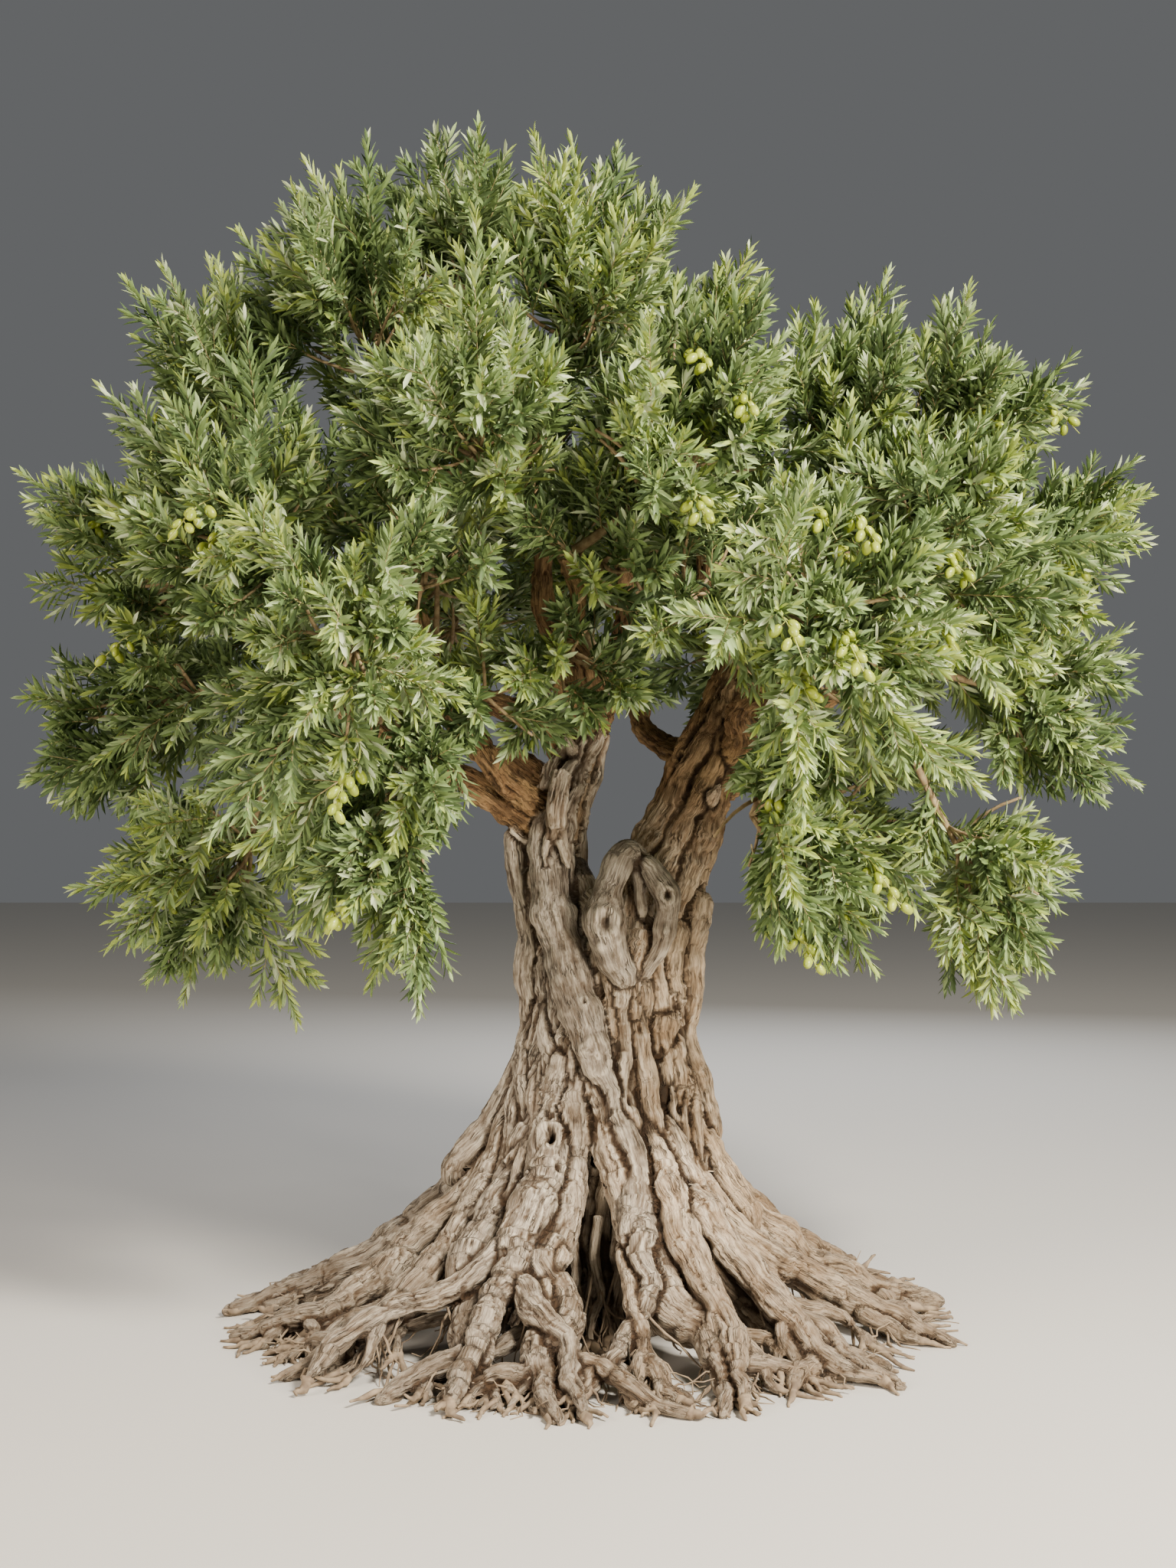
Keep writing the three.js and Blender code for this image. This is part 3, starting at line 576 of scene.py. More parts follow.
# The strands that stand out on the front, in mm: tone, how far each is sunk in as a share of its
# radius, fluting, and its places across, heights and radii from the top down.
FRONT_STRANDS = [
    # the broad pale one that comes off the left leader and crosses to the right
    (0.0, 0.22, 0.35, [
        (-118, 1330, 44), (-112, 1243, 58), (-86, 1098, 63), (-54, 977, 64), (-18, 856, 61), (14, 765, 62),
        (38, 690, 45), (74, 591, 44), (108, 500, 47), (126, 390, 46), (112, 300, 42),
    ]),
    # the two that make the left side
    (0.2, 0.55, 0.6, [
        (-205, 1310, 34), (-182, 1180, 40), (-160, 1040, 38), (-168, 930, 36), (-156, 785, 36),
        (-190, 680, 42), (-262, 540, 46), (-352, 420, 48),
    ]),
    (0.1, 0.60, 0.5, [
        (-122, 930, 24), (-116, 860, 29), (-106, 785, 27), (-90, 714, 32), (-126, 600, 34), (-186, 480, 40),
    ]),
    # the wide bulge low on the left, which goes on as the great front root
    (0.0, 0.58, 0.4, [(-64, 720, 34), (-84, 640, 60), (-100, 530, 76), (-122, 430, 78), (-160, 340, 66)]),
    # the thin neck under the burl, and its neighbours
    (0.6, 0.50, 0.3, [(86, 930, 36), (86, 860, 26), (92, 760, 30), (90, 670, 36), (112, 560, 40)]),
    (0.8, 0.75, 0.45, [
        (142, 960, 36), (130, 860, 44), (141, 750, 40), (148, 650, 46), (176, 540, 52), (214, 430, 56),
        (262, 350, 56),
    ]),
    # the broad smooth one on the right, and the right side
    (1.1, 0.68, 0.35, [
        (214, 1010, 58), (206, 860, 74), (190, 785, 62), (214, 680, 70), (256, 540, 74), (322, 420, 70),
        (402, 310, 64),
    ]),
    (0.9, 0.66, 0.5, [
        (300, 1100, 40), (276, 1000, 50), (283, 890, 42), (253, 785, 44), (280, 680, 54), (320, 530, 56),
    ]),
]
for tone, sunk, fluting, places in FRONT_STRANDS:
    places = np.array(places) * MM
    points = [on_front(x, height, sunk * radius) for x, height, radius in places]
    radii = [places[0, 2], *places[:, 2], places[-1, 2]]
    # The head and the foot dive into the wood.
    points = [points[0] + [0.02, points[0][1] * -0.45, 0.07]] + points
    points.append(points[-1] + [0, points[-1][1] * -0.25, -0.06])
    add_strand(points, even(points, radii), tone, 0.008, 0.18, (True, True), fluting)

# Slender strands run down between them.
THREADS = 26
for k in range(THREADS):
    aside = roll.uniform(-0.86, 0.86)
    high = roll.uniform(0.58, 1.16)
    low = high - roll.uniform(0.22, 0.46)
    thick = roll.uniform(0.012, 0.023)
    points = []
    for share in np.linspace(0, 1, 7):
        height = mix(high, low, share)
        x = 0.05 + aside * ridge_at(height) + 0.02 * math.sin(height * 11 + k)
        points.append(on_front(x, height, thick * (0.1 + 2.6 * abs(share * 2 - 1) ** 3)))
    tops = np.array(points)
    if ((tops[:, 0] > 0.0) & (tops[:, 0] < 0.27) & (tops[:, 2] > 0.92)).any():
        continue
    radii = [thick * 0.6, thick, thick * 1.2, thick, thick * 0.7]
    add_strand(points, radii, 0.35 + 0.6 * (aside > 0), 0.012, 0.22, fluting=0.3)

# The roots in front, in mm: places across, towards the back, up, and radii from the trunk outwards.
FRONT_ROOTS = [
    # the great one on the left, and two that fork from it to the right
    [
        (-115, -330, 420, 66), (-186, -450, 300, 60), (-212, -550, 222, 50), (-252, -680, 140, 38),
        (-296, -820, 58, 30), (-318, -960, 16, 17),
    ],
    [
        (-196, -500, 262, 42), (-126, -640, 172, 41), (-52, -742, 108, 37), (-36, -880, 46, 27),
        (6, -1030, 16, 15),
    ],
    [(-84, -700, 130, 30), (48, -836, 62, 30), (150, -920, 30, 23), (248, -1000, 13, 13)],
    # out of the right side of the hollow
    [
        (128, -380, 350, 46), (150, -490, 246, 40), (156, -560, 200, 36), (94, -676, 131, 31),
        (40, -780, 66, 25), (-10, -860, 20, 15),
    ],
    [(118, -640, 160, 25), (184, -820, 40, 22), (216, -930, 14, 13)],
    # the great ones on the right
    [
        (215, -330, 400, 54), (252, -440, 300, 50), (296, -540, 215, 43), (344, -670, 128, 37),
        (344, -780, 62, 31), (376, -930, 20, 18),
    ],
    [
        (262, -290, 400, 56), (340, -420, 290, 54), (420, -500, 205, 47), (516, -580, 110, 40),
        (590, -660, 50, 31), (735, -740, 18, 17),
    ],
    # the long one that leaves the great left one sideways
    [
        (-196, -430, 292, 40), (-287, -500, 214, 40), (-403, -550, 170, 37), (-518, -600, 140, 33),
        (-625, -700, 86, 26), (-690, -800, 22, 15),
    ],
]
for places in FRONT_ROOTS:
    places = np.array(places) * MM
    points = [place + np.append(roll.uniform(-0.012, 0.012, 2), 0) for place in places[:, :3]]
    points = [points[0] * [0.72, 0.60, 1] + UP * 0.16] + points
    tone = 0.1 if places[-1, 0] < 0.1 else 0.7
    radii = [places[0, 3] * 0.8, *places[:, 3]]
    strand = add_strand(points, even(points, radii), tone, 0.012, 0.18, (False, True))
    root_ends.append((strand["line"][-3], unit((strand["line"][-1] - strand["line"][-5])[:2]), ROOT_TIP))
    side_root(strand, 0.86, roll.choice([-30, 30]), 0.14, 0.017, 0.007)
    side_root(strand, 0.70, 30, 0.20, 0.022, 0.008)
    side_root(strand, 0.62, -34, 0.24, 0.023, 0.008)

# The burl in the fork, in mm: a limb that grew back down on itself. Its left arm is the thicker one and
# narrows to the neck. The right one is knobbly and runs back into the trunk.
BURL_ARMS = [
    [
        (150, -176, 1262, 30), (96, -196, 1280, 44), (64, -222, 1222, 43), (54, -236, 1160, 47),
        (48, -244, 1104, 60), (56, -244, 1050, 57), (70, -232, 1000, 53), (94, -214, 954, 36),
        (98, -196, 915, 20),
    ],
    [
        (96, -186, 1276, 34), (148, -190, 1262, 28), (184, -196, 1214, 37), (214, -200, 1168, 38),
        (214, -200, 1120, 30), (206, -198, 1080, 37), (184, -190, 1020, 30), (158, -180, 960, 27),
        (140, -164, 890, 20),
    ],
    [
        (132, -176, 1250, 20), (138, -172, 1180, 17), (146, -172, 1120, 20), (130, -168, 1050, 15),
        (122, -164, 980, 16),
    ],
]
for arm in BURL_ARMS:
    arm = np.array(arm) * MM
    add_strand(arm[:, :3], even(arm[:, :3], arm[:, 3]), 0.15, 0.008, 0.22, (False, True), fluting=0.15)

# Broken stubs, in mm: from inside a limb to the torn end, and the radius there and at the end.
STUBS = [
    [(-120, -30, 1300), (-190, -55, 1330), (-222, -62, 1366), (26, 15)],
    [(-70, -105, 1500), (-84, -135, 1430), (-92, -140, 1330), (38, 30)],
    [(-84, -132, 1350), (-66, -150, 1290), (-52, -152, 1236), (22, 10)],
    [(-96, -128, 1350), (-112, -150, 1300), (-116, -156, 1250), (20, 9)],
    [(330, -20, 1420), (352, -118, 1450), (362, -136, 1470), (26, 14)],
    [(-40, -40, 1560), (-52, -100, 1590), (-60, -122, 1606), (22, 12)],
]
for *points, radii in STUBS:
    add_strand(np.array(points) * MM, np.array(radii) * MM, 0.4, 0.004, 0.3, (False, True))

# Inside, a solid core fills the trunk and each leader.
CORE_HEIGHTS = np.array([0.0, 0.1, 0.2, 0.3, 0.45, 0.6, 0.8, 1.0])
CORE_SHARE, CORE_LESS = 0.96, 0.012  # how near the core comes to the valleys
BOUGH_SWELL = 0.55  # how much thicker a bough is where it leaves its leader
core_line = [np.array([LEAN * height / TRUNK_TOP, 0.03, height]) for height in CORE_HEIGHTS]
core_valley = VALLEY_WAIST + VALLEY_FLARE * np.exp(-CORE_HEIGHTS / FLARE_HEIGHT)
add_strand(core_line, even(core_line, CORE_SHARE * core_valley - CORE_LESS), 0.5, 0.0, 0.0)
for name, (course, (foot, tip)) in limbs.items():
    if name.startswith("leader"):
        below = course.at(0) * [0.6, 0.6, 1] - UP * 0.2
        inside = [below] + list(course.at(np.linspace(0.05, 1, 7)))
        add_strand(inside, [foot * 0.8, foot * 0.82, tip * 0.8], 1.4, 0.0, 0.05)
    else:
        # A bough swells where it leaves its leader.
        shares = np.linspace(0, 1, 30)
        radii = mix(foot, tip, shares) * (1 + BOUGH_SWELL * np.exp(-shares * course.length / 0.07))
        add_strand(course, radii, 2.0, 0.006, 0.16)


# ---------- The bark's skin ----------

VOXEL = 0.0064
STRAND_STEP = 2  # every second place along a strand is looked up
NEAR = 14  # how many of those places are weighed for each point of the skin


def skin_of(strands, voxel):
    """One closed skin round all the strands."""
    deselect()
    bpy.ops.curve.primitive_bezier_curve_add(location=(0, 0, 0))
    curve = bpy.context.object.data
    curve.splines.clear()
    curve.dimensions = "3D"
    curve.bevel_depth = 1.0
    curve.bevel_resolution = 4
    curve.use_fill_caps = True
    for strand in strands:
        line, thick = strand["line"], strand["thick"]
        spline = curve.splines.new("POLY")
        spline.points.add(len(line) - 1)
        spline.points.foreach_set("co", np.column_stack([line, np.ones(len(line))]).ravel())
        spline.points.foreach_set("radius", thick)
    bpy.ops.object.convert(target="MESH")
    piece = bpy.context.object
    remesh = piece.modifiers.new("one skin", "REMESH")
    remesh.mode = "VOXEL"
    remesh.voxel_size = voxel
    bpy.ops.object.modifier_apply(modifier=remesh.name)
    soften = piece.modifiers.new("soften", "SMOOTH")
    soften.factor = 0.5
    soften.iterations = 2
    bpy.ops.object.modifier_apply(modifier=soften.name)
    return piece


def read(collection, field, width):
    """One field of a mesh's vertices, edges or values, as rows of an array."""
    whole = field in ("vertices", "vertex_index")
    values = np.empty(len(collection) * width, np.int32 if whole else np.float32)
    collection.foreach_get(field, values)
    values = values.reshape(-1, width) if width > 1 else values
    return values.astype(np.int64 if whole else float)


def averaged(values, edges, rounds):
    """Values with each vertex's drawn towards its neighbours'."""
    count = len(values)
    degree = np.bincount(edges.ravel(), minlength=count)
    for _ in range(rounds):
        total = np.empty_like(values)
        for axis in range(values.shape[1]):
            column = values[:, axis]
            total[:, axis] = np.bincount(edges[:, 0], column[edges[:, 1]], count)
            total[:, axis] += np.bincount(edges[:, 1], column[edges[:, 0]], count)
        values = 0.5 * values + 0.5 * total / np.maximum(degree, 1)[:, None]
    return values


def along_strands(points):
    """For each point: its place in the nearest strand as a distance along it and two across it, how
    deep it lies in the groove between two strands, from 0 to 1, and the strand's number."""
    lines, frames, runs, owners, thicks = [], [], [], [], []
    for number, strand in enumerate(strands):
        line = strand["line"]
        heading = unit(np.gradient(line, axis=0))
        across = unit(np.cross(heading, [0.31, 0.85, 0.42]))
        over = np.cross(heading, across)
        keep = np.arange(0, len(line), STRAND_STEP)
        lines.append(line[keep])
        frames.append(np.stack([heading, across, over], 1)[keep])
        runs.append(strand["run"][keep])
        thicks.append(strand["thick"][keep])
        owners.append(np.full(len(keep), number))
    lines, frames, runs, owners, thicks = map(np.concatenate, (lines, frames, runs, owners, thicks))
    tree = kdtree.KDTree(len(lines))
    for k, point in enumerate(lines):
        tree.insert(point, k)
    tree.balance()
    found = np.empty((len(points), NEAR), np.int32)
    away = np.empty((len(points), NEAR))
    for k, point in enumerate(points):
        for slot, (_, index, distance) in enumerate(tree.find_n(point, NEAR)):
            found[k, slot] = index
            away[k, slot] = distance
    # Beside a place, what counts is the distance to the strand's line, not to the place itself.
    beside = np.einsum("nkj,nkj->nk", points[:, None] - lines[found], frames[found, 0])
    beside = np.where(np.abs(beside) < STRAND_PITCH * STRAND_STEP, beside, 0)
    room = np.sqrt(np.maximum(away**2 - beside**2, 0)) - thicks[found]
    rows = np.arange(len(points))
    best = room.argmin(1)
    chosen = found[rows, best]
    other = np.where(owners[found] == owners[chosen][:, None], 1.0, room).min(1)
    groove = 1 - smoothstep(other - room[rows, best], 0.0, 0.013)
    groove = groove * smoothstep(billow(points / 0.14, 53, 2), -0.5, 0.1)
    local = np.einsum("nij,nj->ni", frames[chosen], points - lines[chosen])
    local[:, 0] += runs[chosen]
    return local, groove, owners[chosen]


# Knots in the front, in mm: place across and up, radius, how far the lip swells, how deep the eye is.
# Where the last is less than 0, there is a bump in place of the eye.
KNOTS = [
    (52, 1106, 27, 9, 30),
    (34, 1030, 24, 0, -9),
    (88, 1010, 20, 0, -7),
    (222, 1172, 15, 6, 20),
    (196, 1216, 20, 0, -8),
    (212, 1072, 18, 0, -7),
    (28, 752, 34, 8, -10),
    (66, 740, 16, 0, -8),
    (-98, 556, 28, 9, 60),
    (-62, 470, 18, 6, 20),
    (-6, 900, 9, 3, 12),
    (148, 820, 15, 5, 10),
    (120, 640, 18, 6, 18),
    (-150, 985, 16, 6, 10),
    (206, 742, 16, 5, 12),
    (258, 596, 18, 6, 14),
]


def stretched(local, number, along, across):
    """Places in a strand for a pattern with features so long and so wide."""
    return np.stack([local[:, 0] / along + number * 3.7, local[:, 1] / across, local[:, 2] / across], -1)


# The relief's features: how long each is along a strand and how wide across it, in m.
MUSCLE, FOLD, SEAM = (0.160, 0.060), (0.230, 0.038), (0.140, 0.036)
PIT, PLATE = (0.040, 0.018), (0.055, 0.026)
# How high or deep they are in old wood and in the bark of the limbs, in m.
WOOD_MUSCLE, WOOD_SWELL, WOOD_LUMP = 0.0045, 0.0070, 0.0020
WOOD_FOLD, WOOD_CREASE, WOOD_CRACK = 0.0030, 0.0090, 0.0065
BARK_SWELL, BARK_LUMP, BARK_FOLD = 0.0050, 0.0030, 0.0035
BARK_PLATE, BARK_GAP, BARK_PIT = 0.005, 0.003, 0.009
GROOVE_DEEP = 0.012


def relief(points, local, tone, fluting, groove, number):
    """How far the bark stands out from the smooth skin, and how cracked it is."""
    limb = smoothstep(tone, 1.15, 1.7)
    warp = np.stack([np.zeros(len(points)), billow(points / 0.10, 61, 2), billow(points / 0.10, 67, 2)], -1)
    wavy = local + 0.020 * warp
    swell = billow(points / 0.070, 11, 2)
    lump = billow(points / 0.028, 17, 2)
    muscle = billow(stretched(wavy, number, *MUSCLE), 3, 2)
    fold = billow(stretched(wavy, number, *FOLD), 5, 2)
    crease = np.clip(1 - np.abs(fold) / 0.24, 0, 1) ** 1.3
    seam = billow(stretched(wavy, number, *SEAM) + 0.4 * swell[:, None], 29, 1)
    where = smoothstep(billow(points / 0.10, 37, 1), -0.30, 0.20)
    crack = (1 - smoothstep(np.abs(seam), 0.0, 0.13)) * where
    pit = smoothstep(billow(stretched(local, number, *PIT), 41, 2), 0.12, 0.55)
    room, plate = plates(stretched(local, number, *PLATE), 31)
    gap = 1 - smoothstep(room, 0.02, 0.25)
    wood = WOOD_MUSCLE * muscle + WOOD_SWELL * swell + WOOD_LUMP * lump
    wood += fluting * (WOOD_FOLD * fold - WOOD_CREASE * crease - WOOD_CRACK * crack)
    bark = BARK_SWELL * swell + BARK_LUMP * lump + BARK_FOLD * fold
    bark += BARK_PLATE * (plate - 0.5) - BARK_GAP * gap - BARK_PIT * pit
    height = mix(wood, bark, limb) - GROOVE_DEEP * groove
    cracked = np.maximum(crack, 0.8 * crease * (1 - limb)) * np.maximum(np.sqrt(fluting), limb)
    return height, np.maximum(cracked, limb * np.maximum(pit, 0.5 * gap))


def knotted(points):
    """How far the knots raise or sink each point."""
    height = np.zeros(len(points))
    for x, z, radius, lip, eye in np.array(KNOTS) * MM:
        close = points[np.hypot(points[:, 0] - x, points[:, 2] - z) < 0.012]
        if len(close) == 0:
            continue
        away = np.linalg.norm((points - close[close[:, 1].argmin()]) * [1, 0.8, 0.8], axis=1) / radius
        # A lip swells round the eye, and a faint fold lies round the lip.
        height += lip * np.exp(-(((away - 1.05) / 0.42) ** 2)) - eye * np.exp(-((away / 0.55) ** 2))
        height += 0.25 * lip * np.exp(-(((away - 2.0) / 0.3) ** 2))
    return height


DEEP, UNDERSIDE_SHADE = 0.014, 0.7  # a hollow this deep gets full painted shade, and the share of that painted shade under a root
NEAR_ROUNDS, FAR_ROUNDS = 8, 110  # how often the skin is averaged for its hollows of mm and of cm
SLIM = 0.035  # strands thinner than this have less relief

bark = skin_of(strands, VOXEL)
mesh = bark.data
points = read(mesh.vertices, "co", 3)
edges = read(mesh.edges, "vertices", 2)
normals = read(mesh.vertex_normals, "vector", 3)
local, groove, number = along_strands(points)
tone = np.array([strand["tone"] for strand in strands])[number]
# The leaders turn brown as they go up, the right one sooner.
x, y, z = points.T
browner = np.maximum(smoothstep(z, 1.50, 1.75), smoothstep(z, 1.22, 1.50) * smoothstep(x, 0.12, 0.26))
tone = np.minimum(tone + 0.75 * browner, 2.0)
fluting = np.array([strand["fluting"] for strand in strands])[number]
height, cracked = relief(points, local, tone, fluting, groove, number)
slimness = np.array([strand["thick"].mean() for strand in strands])[number]
height = height * np.clip(slimness / SLIM, 0.25, 1.0) + knotted(points)
points = points + normals * height[:, None]
# Over a few mm: the small hollows, which the material darkens as painted shade, and the worn, paler ridges.
smooth = averaged(points, edges, NEAR_ROUNDS)
hollow = np.einsum("ij,ij->i", smooth - points, normals)
# Over some cm: the wide hollows, which the material darkens as painted shade.
deep = np.einsum("ij,ij->i", averaged(smooth, edges, FAR_ROUNDS) - points, normals) / DEEP
# The undersides of the roots count as deep too, so that they get painted shade.
deep += UNDERSIDE_SHADE * smoothstep(-normals[:, 2], -0.25, 0.55) * smoothstep(-points[:, 2], -0.55, -0.25)
points[:, 2] = np.maximum(points[:, 2], 0)  # flat underneath, at the ground
mesh.vertices.foreach_set("co", points.astype(np.float32).ravel())
mesh.update()
quads = read(mesh.loops, "vertex_index", 1).reshape(-1, 4)

# What each point carries for the material: its place in the grain, its tone, how hollow the bark is there
# over a few mm and over some cm, from which the material paints shade into the hollows, and how cracked it
# is and how deep it lies in a groove between strands, whose darkening is painted shade. The normals are kept
# as they are on the whole skin, so that no seam shows between two pieces.
CARRIED = {
    "grain": local[:, [1, 2, 0]],
    "tone": averaged(tone[:, None], edges, 5),
    "hollow": np.clip(hollow / 0.003, -1, 1)[:, None] * 0.5 + 0.5,
    "deep": np.clip(deep, -1, 1)[:, None] * 0.5 + 0.5,
    # Real cracks, and painted shade in the grooves between strands.
    "cracked": np.maximum(cracked, groove)[:, None],
}
kept_normals = read(mesh.vertex_normals, "vector", 3)
bpy.data.objects.remove(bark)


LONG_RIM = 0.35  # a longer rim of the roots is closed towards their heart
ROOT_HEART = np.array([0.02, 0.03, 0.22])


def rims_of(quads):
    """The closed rims of some of the skin's faces, each as the corners along it."""
    edges = np.concatenate([quads[:, [k, (k + 1) % 4]] for k in range(4)])
    size = len(points)
    there, times = np.unique(edges[:, 0] * size + edges[:, 1], return_counts=True)
    back, times_back = np.unique(edges[:, 1] * size + edges[:, 0], return_counts=True)
    place = np.minimum(np.searchsorted(back, there), len(back) - 1)
    times = times - np.where(back[place] == there, times_back[place], 0)
    following = {}
    for edge, left in zip(there[times > 0].tolist(), times[times > 0].tolist()):
        following.setdefault(edge // size, []).extend([edge % size] * left)
    rims = []
    while following:
        first = next(iter(following))
        rim, here = [], first
        while here in following:
            rim.append(here)
            after = following[here].pop()
            if not following[here]:
                del following[here]
            here = after
        rims.append(rim)
    return rims


def part_of_skin(name, chosen, heart=None):
    """A piece of the skin, closed inside by a fan of faces from each rim to its middle, or from a long
    rim to a place in the heart of the wood."""
    part = quads[chosen]
    used = np.unique(part)
    place = np.full(len(points), -1)
    place[used] = np.arange(len(used))
    faces = place[part].tolist()
    places = points[used]
    carried = {key: values[used] for key, values in CARRIED.items()}
    part_normals = kept_normals[used]
    for rim in rims_of(part):
        middle = len(places)
        faces += [(place[b], place[a], middle) for a, b in zip(rim, rim[1:] + rim[:1])]
        is_long = np.ptp(points[rim], axis=0).max() > LONG_RIM
        places = np.vstack([places, heart if heart is not None and is_long else points[rim].mean(0)])
        carried = {key: np.vstack([values, values[place[rim[0]]]]) for key, values in carried.items()}
        part_normals = np.vstack([part_normals, UP])
    mesh = bpy.data.meshes.new(name)
    mesh.from_pydata(places.tolist(), [], faces)
    for key, values in carried.items():
        kind, field = ("FLOAT_VECTOR", "vector") if values.shape[1] == 3 else ("FLOAT", "value")
        attribute = mesh.attributes.new(key, kind, "POINT")
        attribute.data.foreach_set(field, values.astype(np.float32).ravel())
    mesh.polygons.foreach_set("use_smooth", np.ones(len(mesh.polygons), bool))
    mesh.normals_split_custom_set_from_vertices(part_normals.tolist())
    piece = bpy.data.objects.new(name, mesh)
    bpy.context.scene.collection.objects.link(piece)
    return piece


ROOTS_TOP, TRUNK_END = 0.42, 1.22
x, y, z = points[quads].mean(1).T
is_root = z < ROOTS_TOP
is_limb = z > TRUNK_END
bark_limbs = part_of_skin("bark_limbs", is_limb)
bark_trunk = part_of_skin("bark_trunk", ~is_root & ~is_limb)
turn = np.degrees(np.arctan2(y, x))
# The roots part where no main root runs.
SECTORS = {
    "back_right": (14, 105),
    "back_left": (105, 191),
    "front_left": (191, 277.5),
    "front_right": (277.5, 374),
}
bark_roots = {}
for name, (start, end) in SECTORS.items():
    is_here = is_root & ((turn - start) % 360 < end - start)
    bark_roots[name] = part_of_skin(f"bark_roots_{name}", is_here, ROOT_HEART)


# ---------- Materials ----------


def linear(hex_colour):
    """An sRGB hex colour as the linear one that a shader takes."""
    channels = [int(hex_colour[k : k + 2], 16) / 255 for k in (1, 3, 5)]
    return [c / 12.92 if c <= 0.04045 else ((c + 0.055) / 1.055) ** 2.4 for c in channels] + [1.0]


def add_node(material, kind, inputs=None, output=0, **settings):
    """Adds a node and gives one of its outputs. Each input is a value, a hex colour, or an output of
    another node."""
    node = material.node_tree.nodes.new(kind)
    for key, value in settings.items():
        setattr(node, key, value)
    for socket, value in (inputs or {}).items():
        if isinstance(value, bpy.types.NodeSocket):
            material.node_tree.links.new(value, node.inputs[socket])
        else:
            node.inputs[socket].default_value = linear(value) if isinstance(value, str) else value
    return node.outputs[output]


def noise_of(material, place, size, detail=3.0, roughness=0.5):
    """Noise with features of a size across and one along, in metres."""
    across, along = size if isinstance(size, tuple) else (size, size)
    scale = (1 / across, 1 / across, 1 / along)
    spread = add_node(material, "ShaderNodeMapping", {"Vector": place, "Scale": scale})
    inputs = {"Vector": spread, "Scale": 1.0, "Detail": detail, "Roughness": roughness}
    return add_node(material, "ShaderNodeTexNoise", inputs)


def line_of(material, noise, width):
    """Thin lines where a noise passes its middle."""
    off = add_node(material, "ShaderNodeMath", {0: noise, 1: 0.5}, operation="SUBTRACT")
    size = add_node(material, "ShaderNodeMath", {0: off}, operation="ABSOLUTE")
    inputs = {"Value": size, "From Min": 0.0, "From Max": width, "To Min": 1.0, "To Max": 0.0}
    return add_node(material, "ShaderNodeMapRange", inputs)


def new_material(name, **values):
    material = bpy.data.materials.new(name)
    material.use_nodes = True
    shader = material.node_tree.nodes["Principled BSDF"]
    for socket, value in values.items():
        shader.inputs[socket.replace("_", " ")].default_value = value
    return material, shader


def wear(piece, material):
    piece.data.materials.clear()
    piece.data.materials.append(material)


# Old olive wood and bark in three kinds, each between a darker and a paler colour: silver grey where it
# has weathered, warm tan where it is younger, and the brown bark of the limbs.
BARK_TINTS = {
    "grey": ("#817566", "#b4aa9a"),
    "tan": ("#ab9172", "#d8c2a3"),
    "brown": ("#806140", "#a98a5e"),
}
# Long cracks run along the strands in some spots, and short ones across them in others. In each row:
# the size and roughness of the cracks' noise and their width in it, the spots' size, the noise at which
# a spot starts and is full, and how much of the cracks shows there.
CRACKS = [
    ((0.020, 0.200), 0.6, 0.042, 0.045, 0.40, 0.66, 1.0),
    ((0.060, 0.040), 0.65, 0.013, 0.070, 0.60, 0.70, 0.5),
]


